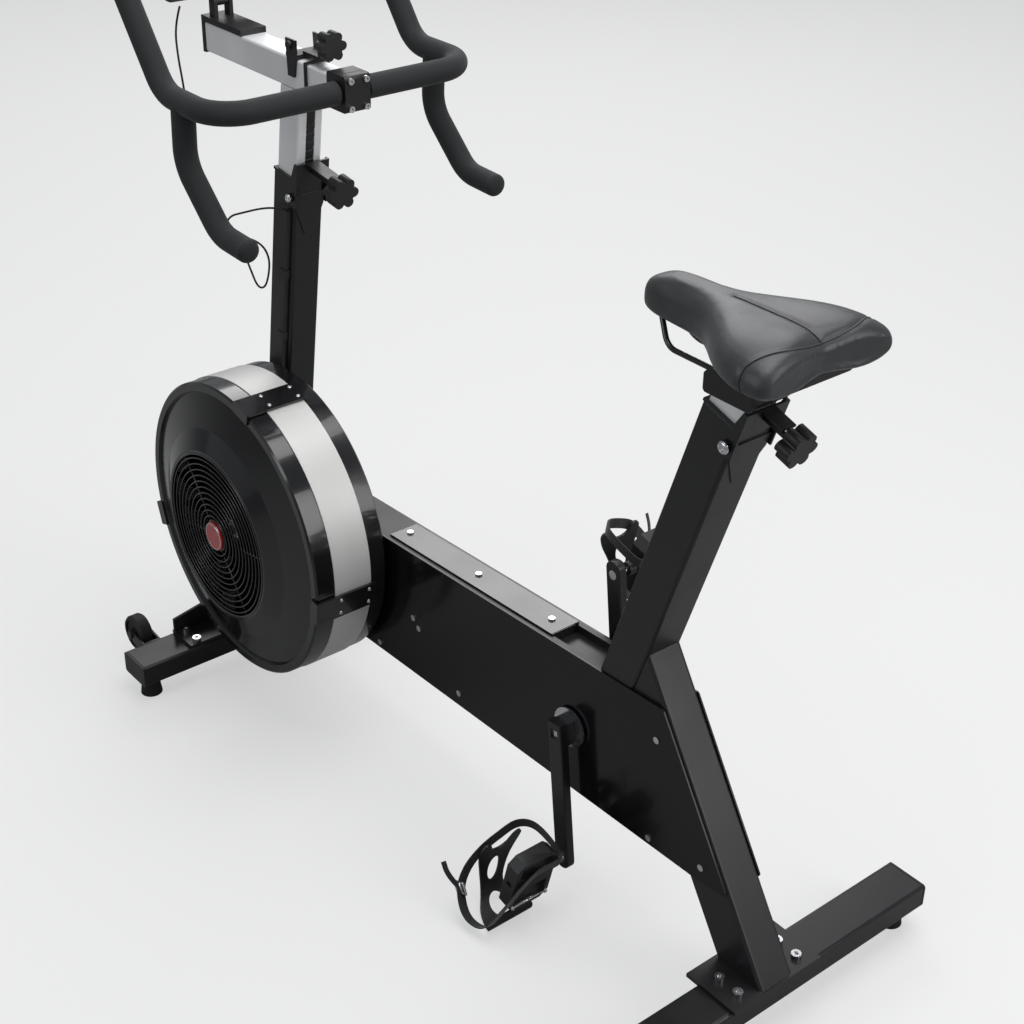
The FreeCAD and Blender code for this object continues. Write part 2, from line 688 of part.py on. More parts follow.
def belt_loop(big, small, half):
    """The solid inside a belt that runs round two pulleys, about the larger one's centre."""
    far = Vector(dim("fan_x"), 0, dim("fan_z") - dim("bracket_z"))
    reach = far.Length
    heading = math.atan2(far.z, far.x)
    spread = math.acos((big - small) / reach)
    low = Vector(0, -half, 0)
    tall = Y_AXIS * (2 * half)
    corners = []
    for centre, radius, sign in ((Vector(), big, 1), (far, small, 1), (far, small, -1), (Vector(), big, -1)):
        angle = heading + sign * spread
        corners.append(centre + low + Vector(math.cos(angle), 0, math.sin(angle)) * radius)
    web = Part.Face(Part.makePolygon(corners + [corners[0]])).extrude(tall)
    ends = [cylinder(big, 2 * half, low, Y_AXIS), cylinder(small, 2 * half, far + low, Y_AXIS)]
    return web.multiFuse(ends).removeSplitter()


# ---------------------------------------------------------------- Cranks and pedals

def make_cranks():
    lean = dim("crank_lean")
    half_width = dim("crank_width") / 2
    thickness = dim("crank_thickness")
    for label, side, turn in (("crank_left", LEFT, -lean), ("crank_right", RIGHT, 180 - lean)):
        low = -dim("crank_length") - dim("crank_foot")
        outline = [(-half_width, low), (half_width, low), (half_width, dim("crank_top")),
                   (-half_width, dim("crank_top"))]
        body = side_body(label, outline, "Dims.crank_thickness")
        round_edges(body, 12.0, lambda edge: runs_along(Y_AXIS)(edge) and edge.CenterOfMass.z < low + 1)
        round_edges(body, 2.0, lambda edge: runs_along(Z_AXIS)(edge))
        inward = -side * (thickness / 2 + 4)
        boss = new_sketch(body, "XZ_Plane", -inward)
        draw_outline(boss, [(-half_width, -18), (half_width, -18), (half_width, 16), (-half_width, 16)])
        pad(body, boss, "16 mm", symmetric=True)
        side_pocket(body, None, "13 mm", y=-side * (thickness / 2 + 6.4),
                    circle=(0, 0, "Dims.spindle_diameter + 0.1"))
        square = [(-7.05, -7.05), (7.05, -7.05), (7.05, 7.05), (-7.05, 7.05)]
        side_pocket(body, square, "80 mm")
        side_pocket(body, None, "80 mm", circle=(0, -dim("crank_length"), "14.1 mm"))
        y = side * (dim("crank_face") - thickness / 2)
        keep(body, label, spot(0, y, dim("bracket_z")), Rotation(Y_AXIS, turn))


def pedal_spot(side):
    """The middle of a pedal's axle at rest: the left crank hangs down, the right stands up."""
    angle = math.radians(dim("crank_lean"))
    x = math.sin(angle) * dim("crank_length")
    z = -math.cos(angle) * dim("crank_length")
    y = dim("crank_face") + dim("pedal_reach") + dim("pedal_width") / 2
    return spot(-side * x, side * y, dim("bracket_z") - side * z)


def make_pedals():
    axle_radius = dim("pedal_axle") / 2
    face = dim("crank_face")
    axles = []
    heel = dim("pedal_heel")
    toe = -dim("pedal_toe")
    half_width = dim("pedal_width") / 2
    for side, word in ((LEFT, "left"), (RIGHT, "right")):
        centre = pedal_spot(side)
        inboard = Vector(centre.x, 0, centre.z)
        out = Y_AXIS * side
        axle = cylinder(7.0, dim("crank_thickness"), inboard + out * (face - dim("crank_thickness")), out)
        axle = axle.fuse(cylinder(8.5, 3, inboard + out * face, out))
        axle = axle.fuse(cylinder(axle_radius, dim("pedal_reach") + dim("pedal_width") - 10,
                                  inboard + out * face, out))
        axles.append(axle.removeSplitter())

        body = new_body("pedal_" + word)
        platform = new_sketch(body)
        cut = 12
        draw_outline(platform, [
            (toe, cut - half_width), (toe + cut, -half_width),
            (heel - cut, -half_width), (heel, cut - half_width),
            (heel, half_width - cut), (heel - cut, half_width),
            (toe + cut, half_width), (toe, half_width - cut)])
        pad(body, platform, "Dims.pedal_height", symmetric=True)
        windows = new_sketch(body)
        for start, end in ((toe + 9, -14), (14, heel - 7)):
            draw_outline(windows, [(start, -27), (end, -27), (end, 27), (start, 27)])
        body_pocket(body, windows, 60)
        sleeve = new_sketch(body, "XZ_Plane", side * (half_width + 5))
        draw_circle(sleeve, "20 mm")
        pad(body, sleeve, "16 mm", symmetric=True)
        bore = new_sketch(body, "XZ_Plane", side * 12)
        draw_circle(bore, "Dims.pedal_axle + 2 * Dims.running_gap")
        body_pocket(body, bore, 100)
        keep(body, "pedal_" + word, centre, Rotation(Y_AXIS, -dim("pedal_tilt")))

        path = [Vector(toe - 1.6, 0, -9), Vector(toe - 19, 0, -9), Vector(toe - 20, 0, 22),
                Vector(toe - 8, 0, 50), Vector(-26, 0, 66), Vector(11, 0, 66)]
        clip = band_along(path, 20, 3, 88, Y_AXIS)
        for y in (-21, 21):
            front = cylinder(13, 60, Vector(toe - 80, y, 28), X_AXIS)
            hood = cylinder(13, 60, Vector(-22, y, 40), Z_AXIS)
            clip = clip.cut(front).cut(hood)
        clip = clip.fuse(block(Vector(toe - 3.4, -22, -11), Vector(toe - 0.2, 22, 9)))
        keep(solid(clip, "toe_clip_" + word), "toe_clip_" + word, centre,
             Rotation(Y_AXIS, -dim("pedal_tilt")))

        loop = [(-18, -15.5), (-43, -15.5), (-48, 26), (-43, 60), (-24, 72), (30, 72), (62, 58),
                (64, 20), (43, -15.5), (18, -15.5)]
        strap = band_along([Vector(21, side * y, z) for y, z in loop], 30, 2, 15, X_AXIS)
        keep(solid(strap, "toe_strap_" + word), "toe_strap_" + word, centre,
             Rotation(Y_AXIS, -dim("pedal_tilt")))
    group(axles, "pedal_axles")


# ---------------------------------------------------------------- Fan

# Degrees about the fan's axis, from the rear towards the top.
SPOKE_ANGLES = (8.6, 125.8, 188.6, 305.8)
STRAP_ANGLES = (76, -7.5, 198)


def fan_place():
    """Fan pieces are drawn about their own Z, which points out to the rider's left."""
    return spot(dim("fan_x"), 0, dim("fan_z")), Rotation(X_AXIS, 90)


def make_fan():
    place = fan_place()
    rim = dim("rim_radius")
    inner = rim - dim("rim_wall")
    back = -dim("rim_inner_y")
    band_low = -dim("band_inner_y")
    band_high = -dim("band_outer_y")
    front = -dim("rim_outer_y")
    grille = -dim("grille_y")
    bevel = dim("bevel_radius")
    face = dim("face_radius")
    mouth = dim("grille_radius")

    cover = new_body("cover_right")
    revolve(cover, [(60, back), (rim - 3, back), (rim, back + 3), (rim, band_low), (inner, band_low),
                    (inner, back + 3), (60, back + 3)])
    posts = new_sketch(cover, "XY_Plane", back - 5.1)
    for at in ((150, 30), (150, -60), (60, -90), (-40, -100)):
        draw_circle(posts, "18 mm", at)
    pad(cover, posts, "10.8 mm", symmetric=True)
    keep(cover, "fan_cover_right", *place)

    shell = new_body("cover_left")
    revolve(shell, [(inner, band_high), (rim, band_high), (rim, front - 3), (rim - 3, front),
                    (face + 2, front), (face, front - 4), (bevel, front + 13), (mouth + 4, grille - 3),
                    (mouth, grille - 3), (mouth, grille - 6), (bevel - 2, front + 10), (face, front - 7),
                    (inner, front - 7)])
    keep(shell, "fan_cover_left", *place)

    band = new_body("band")
    revolve(band, [(inner + 1, band_low), (dim("band_radius"), band_low), (dim("band_radius"), band_high),
                   (inner + 1, band_high)])
    keep(band, "fan_band", *place)

    origin = Vector()
    wire = dim("wire_radius")
    wires = [ring(dim("badge_radius") - 6, dim("badge_radius") + 3, grille - 6, grille - 3, origin, Z_AXIS)]
    radius = dim("badge_radius") + dim("wire_pitch")
    while radius < mouth - 4:
        wires.append(ring(radius - wire, radius + wire, grille - 4, grille - 1, origin, Z_AXIS))
        radius += dim("wire_pitch")
    wires.append(ring(mouth - 3, mouth, grille - 6, grille - 1, origin, Z_AXIS))
    for angle in SPOKE_ANGLES:
        spoke = block(Vector(dim("badge_radius") - 3, -wire, grille - 6), Vector(mouth - 1, wire, grille - 3))
        spoke.rotate(origin, Z_AXIS, angle)
        wires.append(spoke)
    hub = ring(dim("axle_diameter") / 2 + 0.05, dim("badge_radius") - 3, grille - 9, grille - 4, origin, Z_AXIS)
    guard = hub.multiFuse(wires).removeSplitter()
    keep(solid(guard, "fan_grille"), "fan_grille", *place)

    badge = new_body("badge")
    rim_radius = dim("badge_radius")
    revolve(badge, [(0, grille - 3.8), (rim_radius - 7, grille - 3.8), (rim_radius - 7, grille - 2.9),
                    (rim_radius, grille - 2.9), (rim_radius, grille), (rim_radius - 2, grille + 2),
                    (0, grille + 2)])
    keep(badge, "fan_badge", *place)

    axle = new_body("axle")
    shaft = dim("axle_diameter") / 2
    revolve(axle, [(0, -38), (shaft, -38), (shaft, grille - 5), (0, grille - 5)])
    keep(axle, "fan_axle", *place)

    hub_radius = dim("hub_diameter") / 2
    wheel = new_body("wheel")
    revolve(wheel, [(9, 4), (14, 4), (14, 27), (hub_radius, 27), (hub_radius, 60),
                    (dim("vane_radius"), 60), (dim("vane_radius"), 63), (hub_radius, 63),
                    (hub_radius, 170), (17.54, 170), (17.54, 157), (12, 157), (12, 40), (17.54, 40),
                    (17.54, 30), (9, 30)])
    vane = new_sketch(wheel, "XY_Plane", 105)
    reach = dim("vane_radius")
    draw_outline(vane, [(95, -1.2), (reach - 1, -1.2), (reach - 1, 1.2), (95, 1.2)])
    blade = pad(wheel, vane, "88 mm", symmetric=True)
    doc.recompute()
    pattern = wheel.newObject("PartDesign::PolarPattern", "Vanes")
    pattern.Originals = [blade]
    pattern.Axis = (vane, ["N_Axis"])
    pattern.Angle = 360
    pattern.setExpression("Occurrences", "Dims.vane_count")
    wheel.Tip = pattern
    keep(wheel, "fan_wheel", *place)

    pulley = new_body("fan_pulley")
    small = dim("fan_pulley_radius")
    middle = -dim("pulley_y")
    half = dim("pulley_width") / 2
    revolve(pulley, [(14, middle - half), (small, middle - half), (small, middle + half),
                     (14, middle + half)])
    keep(pulley, "fan_pulley", *place)

    straps = []
    for angle in STRAP_ANGLES:
        reach = rim + 1.8
        cross = block(Vector(reach, -dim("strap_width") / 2, band_low - 6),
                      Vector(reach + 4, dim("strap_width") / 2, front + 1))
        lip = block(Vector(face + 4, -dim("strap_width") / 2, front + 0.1),
                    Vector(reach + 4, dim("strap_width") / 2, front + 3.1))
        strap = cross.fuse(lip).removeSplitter()
        strap.rotate(origin, Z_AXIS, angle)
        straps.append(strap)
    joined = solid(Part.makeCompound(straps), "fan_straps")
    keep(joined, "fan_straps", *place)


# ---------------------------------------------------------------- Transport wheels

def make_transport_wheels():
    radius = dim("wheel_radius")
    half = dim("wheel_width") / 2
    forks = []
    for side, word in ((LEFT, "left"), (RIGHT, "right")):
        centre = spot(dim("wheel_x"), side * dim("wheel_y"), dim("wheel_z"))
        body = new_body("wheel_" + word)
        bore = 4 + dim("running_gap")
        revolve(body, [(bore, -half), (10, -half), (10, 3 - half), (radius - 7, 3 - half),
                       (radius - 7, -half), (radius - 3, -half), (radius, 4 - half), (radius, half - 4),
                       (radius - 3, half), (radius - 7, half), (radius - 7, half - 3), (10, half - 3),
                       (10, half), (bore, half)])
        keep(body, "transport_wheel_" + word, centre, Rotation(X_AXIS, 90))

        back = dim("front_bar_x") - dim("bar_width") / 2 - dim("wheel_x")
        low = dim("bar_base_z") + 3 - dim("wheel_z")
        high = dim("bar_base_z") + dim("bar_height") - 3 - dim("wheel_z")
        fork = block(Vector(back - 4, -half - 4, low), Vector(back, half + 4, high))
        for cheek in (-half - 4, half + 1):
            corners = [Vector(back, cheek, low), Vector(back, cheek, high), Vector(0, cheek, 9),
                       Vector(0, cheek, -9)]
            plate = Part.Face(Part.makePolygon(corners + [corners[0]])).extrude(Y_AXIS * 3)
            fork = fork.fuse(plate).fuse(cylinder(9, 3, Vector(0, cheek, 0), Y_AXIS))
        fork = fork.fuse(cylinder(4, 2 * half + 8, Vector(0, -half - 4, 0), Y_AXIS))
        fork = fork.fuse(cylinder(7, 3, Vector(0, -half - 7, 0), Y_AXIS))
        fork = fork.fuse(cylinder(7, 3, Vector(0, half + 4, 0), Y_AXIS)).removeSplitter()
        fork.translate(centre)
        forks.append(fork)
    group(forks, "wheel_forks")


# ---------------------------------------------------------------- Handlebar column

POST_TOP_Z = dim("top_tube_z") - dim("top_tube_height") / 2


def lean_place(axis_line, distance, lean, across=0.0):
    """A placement on a leaning axis: local Z follows the tube and local X points to its rear."""
    x, z = along(axis_line, distance)
    return spot(x, across, z), Rotation(Y_AXIS, lean)


def sleeve(outer_x, outer_y, gap_x, gap_y, low, high, lip):
    """A rectangular liner with a lip that rests on the tube's end."""
    shape = block(Vector(-outer_x / 2, -outer_y / 2, low), Vector(outer_x / 2, outer_y / 2, high))
    rim = block(Vector(-outer_x / 2 - lip, -outer_y / 2 - lip, high),
                Vector(outer_x / 2 + lip, outer_y / 2 + lip, high + 4))
    bore = block(Vector(-gap_x / 2, -gap_y / 2, low - 1), Vector(gap_x / 2, gap_y / 2, high + 5))
    return shape.fuse(rim).cut(bore).removeSplitter()


def make_liners():
    fit = dim("running_gap")
    wall = dim("tube_wall")
    mast_x = dim("mast_depth") - 2 * wall - 0.1
    mast_y = dim("mast_width") - 2 * wall - 0.1
    mast = sleeve(mast_x, mast_y, dim("post_depth") + 2 * fit, dim("post_width") + 2 * fit, -60, 0, wall)
    mast.Placement = FreeCAD.Placement(*lean_place(MAST_AXIS, dim("mast_length"), dim("mast_lean")))
    seat_size = dim("frame_width") - 2 * wall - 0.1
    bore = dim("seat_post_width") + 2 * fit
    seat = sleeve(seat_size, seat_size, bore, bore, -60, 0, wall)
    seat.Placement = FreeCAD.Placement(
        *lean_place(SEAT_AXIS, dim("seat_tube_length"), dim("seat_tube_lean")))
    group([mast, seat], "tube_liners")


def make_mast_post():
    level = line_at(0, POST_TOP_Z, 1, 0)
    front = beside(MAST_AXIS, -dim("post_depth") / 2)
    rear = beside(MAST_AXIS, dim("post_depth") / 2)
    top = (POST_TOP_Z - FLOOR_PLATE) / MAST_AXIS[1][1]
    bottom = square_to(MAST_AXIS, top - dim("post_length"))
    outline = [meet(front, bottom), meet(rear, bottom), meet(rear, level), meet(front, level)]
    below = square_to(MAST_AXIS, top - dim("post_length") - 30)
    above = line_at(0, POST_TOP_Z + 30, 1, 0)
    inner_front = beside(front, 3)
    inner_rear = beside(rear, -3)
    bore = [meet(inner_front, below), meet(inner_rear, below), meet(inner_rear, above),
            meet(inner_front, above)]
    post = leaning_tube("mast_post", outline, bore, "Dims.post_width", "3", MAST_AXIS, corner=4.0)
    rack_low = top - dim("post_length") + 30
    rack_high = top - 25
    slot_in = beside(rear, -3.5)
    slot_out = beside(rear, 1)
    slot = [meet(slot_in, square_to(MAST_AXIS, rack_low)), meet(slot_out, square_to(MAST_AXIS, rack_low)),
            meet(slot_out, square_to(MAST_AXIS, rack_high)), meet(slot_in, square_to(MAST_AXIS, rack_high))]
    side_pocket(post, slot, "14.2 mm")
    keep(post, "mast_post", spot(0, 0, 0))

    root_line = beside(rear, -3)
    tip_line = beside(rear, -0.1)
    notch_line = beside(rear, -1.6)
    pitch = 14.0
    count = int((rack_high - rack_low - 4) / pitch)
    teeth = [meet(root_line, square_to(MAST_AXIS, rack_low + 0.2)),
             meet(tip_line, square_to(MAST_AXIS, rack_low + 0.2))]
    for i in range(count):
        base = rack_low + 4 + i * pitch
        teeth.append(meet(tip_line, square_to(MAST_AXIS, base)))
        teeth.append(meet(notch_line, square_to(MAST_AXIS, base + 1)))
        teeth.append(meet(notch_line, square_to(MAST_AXIS, base + 6)))
        teeth.append(meet(tip_line, square_to(MAST_AXIS, base + 7)))
    teeth.append(meet(tip_line, square_to(MAST_AXIS, rack_high - 0.2)))
    teeth.append(meet(root_line, square_to(MAST_AXIS, rack_high - 0.2)))
    keep(side_body("mast_rack", teeth, "14 mm"), "mast_rack", spot(0, 0, 0))


def latch(width, reach):
    """A latch lever about its pivot: local X points away from the tube, local Z along it."""
    inner = width / 2 + 0.6
    outer = inner + 3
    corners = [(-11, 10), (-11, -8), (2, -14), (12, -14), (12, 56), (5, 56), (-6, 18)]
    lever = block(Vector(8.5, -outer, 22), Vector(12, outer, 56))
    for y in (-outer, inner):
        points = [Vector(x, y, z) for x, z in corners]
        cheek = Part.Face(Part.makePolygon(points + [points[0]])).extrude(Y_AXIS * 3)
        lever = lever.fuse(cheek)
    for y, direction in ((-outer, -Y_AXIS), (outer, Y_AXIS)):
        lever = lever.fuse(cylinder(6.5, 3.5, Vector(0, y, 0), direction))
    guard = block(Vector(12, -11, 53), Vector(reach - 6, 11, 56))
    hole = cylinder(4.3, 20, Vector(4, 0, 42), X_AXIS)
    return lever.fuse(guard).cut(hole).removeSplitter()


LATCHES = {
    # name: (tube axis, lean, distance along the tube, tube depth, tube width, reach of the knob)
    "mast": (MAST_AXIS, "mast_lean", "mast_latch_at", "mast_depth", "mast_width", 74),
    "seat": (SEAT_AXIS, "seat_tube_lean", "seat_latch_at", "frame_width", "frame_width", 52),
}


def make_latches():
    for word, (axis_line, lean, distance, depth, width, reach) in LATCHES.items():
        angle = dim(lean)
        dx, dz = axis_line[1]
        base, turn = lean_place(axis_line, dim(distance), angle)
        out = Vector(dz, 0, -dx) * (dim(depth) / 2 - 6)
        label = "mast_latch" if word == "mast" else "seat_latch"
        keep(solid(latch(dim(width), reach), label), label, base + out, turn)
        knob = lobed_knob(Vector(9.5, 0, 42), dim("knob_depth"), dim("knob_diameter"), reach - 9.5, 4)
        keep(solid(knob, word + "_knob"), word + "_knob", base + out, turn)


def make_top_tube():
    length = dim("top_tube_rear") - dim("top_tube_front")
    tube = box_tube("top_tube", "Dims.top_tube_height", "Dims.top_tube_width",
                    "(Dims.top_tube_height - Dims.slider_height) / 2 - 0.1",
                    "Dims.top_tube_rear - Dims.top_tube_front", corner=4.0)
    keep(tube, "top_tube", spot(dim("top_tube_front"), 0, dim("top_tube_z")), Rotation(Y_AXIS, 90))

    slider = box_tube("slider", "Dims.slider_height", "Dims.slider_width", "3", "226 mm", corner=3.0)
    start = dim("handlebar_x") - 27 - 226
    keep(slider, "bar_slider", spot(start, 0, dim("top_tube_z")), Rotation(Y_AXIS, 90))

    cheek_in = dim("top_tube_width") / 2 + 0.6
    corners = [(-12, 8), (-9, -46), (7, -46), (14, -12), (14, 8)]
    lever = block(Vector(-12, -cheek_in - 3, -18), Vector(14, cheek_in + 3, -13))
    for y in (-cheek_in - 3, cheek_in):
        points = [Vector(x, y, z) for x, z in corners]
        lever = lever.fuse(Part.Face(Part.makePolygon(points + [points[0]])).extrude(Y_AXIS * 3))
        side = -Y_AXIS if y < 0 else Y_AXIS
        lever = lever.fuse(cylinder(6, 6, Vector(0, y + 1.5, 0), side))
    lever = lever.fuse(block(Vector(10, -10, -15), Vector(52, 10, -9)))
    lever = lever.fuse(block(Vector(48, -10, -15), Vector(52, 10, 14)))
    knob = lobed_knob(Vector(50, 0, 9), 20, 42, 6, 5)
    lever = lever.fuse(knob).removeSplitter()
    keep(solid(lever, "bar_knob"), "bar_knob", spot(-657, 0, dim("top_tube_z") + 43))


def make_clamp():
    x = dim("handlebar_x")
    z = dim("top_tube_z")
    body = new_body("clamp")
    outline = [(-27, -26), (19, -26), (19, 26), (-27, 26)]
    sketch = new_sketch(body, "XZ_Plane")
    draw_outline(sketch, outline)
    pad(body, sketch, "42 mm", symmetric=True)
    round_edges(body, 5.0, runs_along(Y_AXIS))
    side_pocket(body, None, "100 mm", circle=(0, 0, "Dims.bar_diameter + 0.1"))
    for low in (-27, 13.5):
        slit = [(2, low), (3.2, low), (3.2, low + 13.5), (2, low + 13.5)]
        side_pocket(body, slit, "30 mm")
    keep(body, "bar_clamp", spot(x, 0, z))
    bolts = []
    for y in (-13, 13):
        for lift in (-19.5, 19.5):
            bolts.append(screw(spot(x + 19, y, z + lift), -X_AXIS, 4.5, 4.5, 2.6, 0.5))
    group([bolt.cut(block(spot(x - 40, -30, z - 40), spot(x + 19, 30, z + 40))) for bolt in bolts],
          "clamp_bolts")


def bar_paths():
    """The centre lines of the bar: the main bend, and a drop below each of its corners."""
    half = dim("handlebar_half")
    main = []
    for side in (LEFT, RIGHT):
        branch = [Vector(-260, side * half, 160), Vector(-138, side * half, 0), Vector(0, side * half, 0)]
        main += branch if side == LEFT else branch[::-1]
    drops = []
    for side in (LEFT, RIGHT):
        y = side * half
        drops.append([Vector(-90, y, 0), Vector(-95, y, -88), Vector(-10, y, -166), Vector(56, y, -168)])
    return main, drops


def make_handlebar():
    main, drops = bar_paths()
    place = spot(dim("handlebar_x"), 0, dim("top_tube_z"))
    core = dim("bar_diameter") / 2
    foam = dim("foam_diameter") / 2
    bend = 55
    steel = pipe(main, core, largest=bend)[0]
    skin = pipe(main, foam, largest=bend)[0]
    bore = pipe(main, core + 0.05, largest=bend)[0]
    for path in drops:
        steel = steel.fuse(pipe(path, core, largest=bend)[0])
        skin = skin.fuse(pipe(path, foam, largest=bend)[0])
        bore = bore.fuse(pipe(path, core + 0.05, largest=bend)[0])
    keep(solid(steel.removeSplitter(), "handlebar"), "handlebar", place)
    gap = dim("top_tube_width") / 2 + 4
    skin = skin.cut(bore).cut(block(Vector(-30, -gap, -30), Vector(30, gap, 30)))
    keep(solid(skin, "handlebar_foam"), "handlebar_foam", place)


# ---------------------------------------------------------------- Console and its cable

CONSOLE_PIVOT = (-884, 1098)
CABLE_RADIUS = 1.6
CABLE_ROUTE = [
    (-902, -60, 1094), (-911, -66, 1064), (-902, -70, 1022), (-888, -72, 980), (-882, -72, 936),
    (-884, -70, 890), (-866, -66, 842), (-826, -60, 798), (-785, -54, 758), (-762, -50, 716),
    (-749, -47, 690), (-730, -45, 695), (-718, -44, 722), (-712, -45, 750), (-722, -50, 770),
    (-748, -60, 776), (-778, -68, 768), (-800, -68, 776), (-796, -62, 796), (-768, -52, 808),
    (-738, -44, 821), (-710, -37, 830), (-685.2, -31.5, 834)]


def make_console():
    z = dim("top_tube_z") + dim("top_tube_height") / 2
    front = dim("top_tube_front")
    pivot_x, pivot_z = CONSOLE_PIVOT
    base = block(Vector(front, -22, z), Vector(front + 105, 22, z + 9))
    base = base.fuse(block(Vector(front - 8, -22, z - 47), Vector(front, 22, z + 9)))
    for y in (-16, 10):
        ear = block(Vector(pivot_x - 8, y, z), Vector(pivot_x + 8, y + 6, pivot_z))
        base = base.fuse(ear).fuse(cylinder(8, 6, Vector(pivot_x, y, pivot_z), Y_AXIS))
    base = base.fuse(cylinder(3, 32, Vector(pivot_x, -16, pivot_z), Y_AXIS)).removeSplitter()
    keep(solid(base, "console_bracket"), "console_bracket", spot(0, 0, 0))

    case = block(Vector(-17, -84, 12), Vector(15, 84, 134))
    edges = [edge for edge in case.Edges if runs_along(X_AXIS)(edge)]
    case = case.makeFillet(14, edges)
    face = block(Vector(13, -62, 46), Vector(16, 62, 122))
    case = case.cut(face)
    tongue = cylinder(7, 19, Vector(0, -9.5, 0), Y_AXIS)
    tongue = tongue.fuse(block(Vector(-6, -9.5, 0), Vector(6, 9.5, 16)))
    case = case.fuse(tongue).cut(cylinder(3.05, 40, Vector(0, -20, 0), Y_AXIS)).removeSplitter()
    keep(solid(case, "console"), "console", spot(pivot_x, 0, pivot_z), Rotation(Y_AXIS, -28))


def make_cable():
    points = [spot(*point) for point in CABLE_ROUTE]
    tube, wire, radii = pipe(points, CABLE_RADIUS)
    print("cable length %.1f, arc radii %s" % (wire.Length, " ".join("%.1f" % r for r in radii)))
    print("cable volume %.1f, section times length %.1f"
          % (tube.Volume, math.pi * CABLE_RADIUS ** 2 * wire.Length))
    keep(solid(tube, "console_cable"), "console_cable")


def make_cable_strip():
    """The strip up the mast's left side that the console cable goes into."""
    strip = block(Vector(12, 0, 380), Vector(22, 9, 764))
    for height in range(430, 760, 110):
        strip = strip.fuse(block(Vector(10.5, 0, height), Vector(23.5, 10.5, height + 14)))
    across = -dim("mast_width") / 2 - 10.5
    turned = solid(strip.removeSplitter(), "cable_strip")
    turned.Shape = turned.Shape.mirror(Vector(0, 5.25, 0), Y_AXIS)
    base, turn = lean_place(MAST_AXIS, 0, dim("mast_lean"), across)
    keep(turned, "cable_strip", base, turn)


# ---------------------------------------------------------------- Saddle

CLAMP_Z = 882
RAIL_Z = 908


def make_seat_post():
    level = line_at(0, CLAMP_Z, 1, 0)
    front = beside(SEAT_AXIS, -dim("seat_post_width") / 2)
    rear = beside(SEAT_AXIS, dim("seat_post_width") / 2)
    top = (CLAMP_Z - dim("seat_tube_z")) / SEAT_AXIS[1][1]
    bottom = square_to(SEAT_AXIS, top - dim("seat_post_length"))
    outline = [meet(front, bottom), meet(rear, bottom), meet(rear, level), meet(front, level)]
    below = square_to(SEAT_AXIS, top - dim("seat_post_length") - 30)
    above = line_at(0, CLAMP_Z + 30, 1, 0)
    inner_front = beside(front, 3)
    inner_rear = beside(rear, -3)
    bore = [meet(inner_front, below), meet(inner_rear, below), meet(inner_rear, above),
            meet(inner_front, above)]
    post = leaning_tube("seat_post", outline, bore, "Dims.seat_post_width", "3", SEAT_AXIS, corner=4.0)
    keep(post, "seat_post", spot(0, 0, 0))

    clamp = new_body("saddle_clamp")
    outline = [(-38, 0), (34, 0), (38, 8), (38, 26), (30, 32), (-30, 32), (-38, 24)]
    sketch = new_sketch(clamp, "XZ_Plane")
    draw_outline(sketch, outline)
    pad(clamp, sketch, "64 mm", symmetric=True)
    round_edges(clamp, 5.0, runs_along(Y_AXIS))
    grooves = new_sketch(clamp, "YZ_Plane")
    for y in (-dim("rail_spread") / 2, dim("rail_spread") / 2):
        draw_circle(grooves, "Dims.rail_diameter + 2 * Dims.running_gap", (y, RAIL_Z - CLAMP_Z))
    body_pocket(clamp, grooves, 200)
    keep(clamp, "saddle_clamp", spot(236, 0, CLAMP_Z))


def make_saddle_pieces():
    nose = 70
    rails = []
    spread = dim("rail_spread") / 2
    for side in (LEFT, RIGHT):
        path = [Vector(34, side * 12, 34), Vector(58, side * spread, 0), Vector(232, side * spread, 0),
                Vector(248, side * (spread + 14), 30)]
        rails.append(pipe(path, dim("rail_diameter") / 2, largest=26)[0])
    piece = solid(Part.makeCompound(rails), "saddle_rails")
    keep(piece, "saddle_rails", spot(nose, 0, RAIL_Z))

    loft = new_body("saddle")
    sections = [(3, 14, 52, 10), (24, 24, 54, 20), (70, 29, 56, 25), (120, 42, 57, 27),
                (168, 72, 58, 27), (214, 98, 59, 29), (256, 109, 60, 30), (286, 98, 62, 21)]
    sketches = []
    for x, half_width, middle, half_height in sections:
        sketch = new_sketch(loft, "YZ_Plane", x)
        reach = half_width - half_height
        for y, start in ((reach, -math.pi / 2), (-reach, math.pi / 2)):
            circle = Part.Circle(Vector(y, middle, 0), Z_AXIS, half_height)
            sketch.addGeometry(Part.ArcOfCircle(circle, start, start + math.pi))
            edge = math.copysign(half_height, y)
            sketch.addGeometry(Part.LineSegment(Vector(y, middle + edge, 0), Vector(-y, middle + edge, 0)))
        sketches.append(sketch)
    feature = loft.newObject("PartDesign::AdditiveLoft", "Loft")
    feature.Profile = sketches[0]
    feature.Sections = sketches[1:]
    doc.recompute()
    keep(loft, "saddle", spot(nose, 0, RAIL_Z))


# ---------------------------------------------------------------- Fasteners

PANEL_SCREWS = [(-460, 176), (-255, 194), (163, 196), (166, 363), (262, 213), (-369, 270), (-355, 258)]


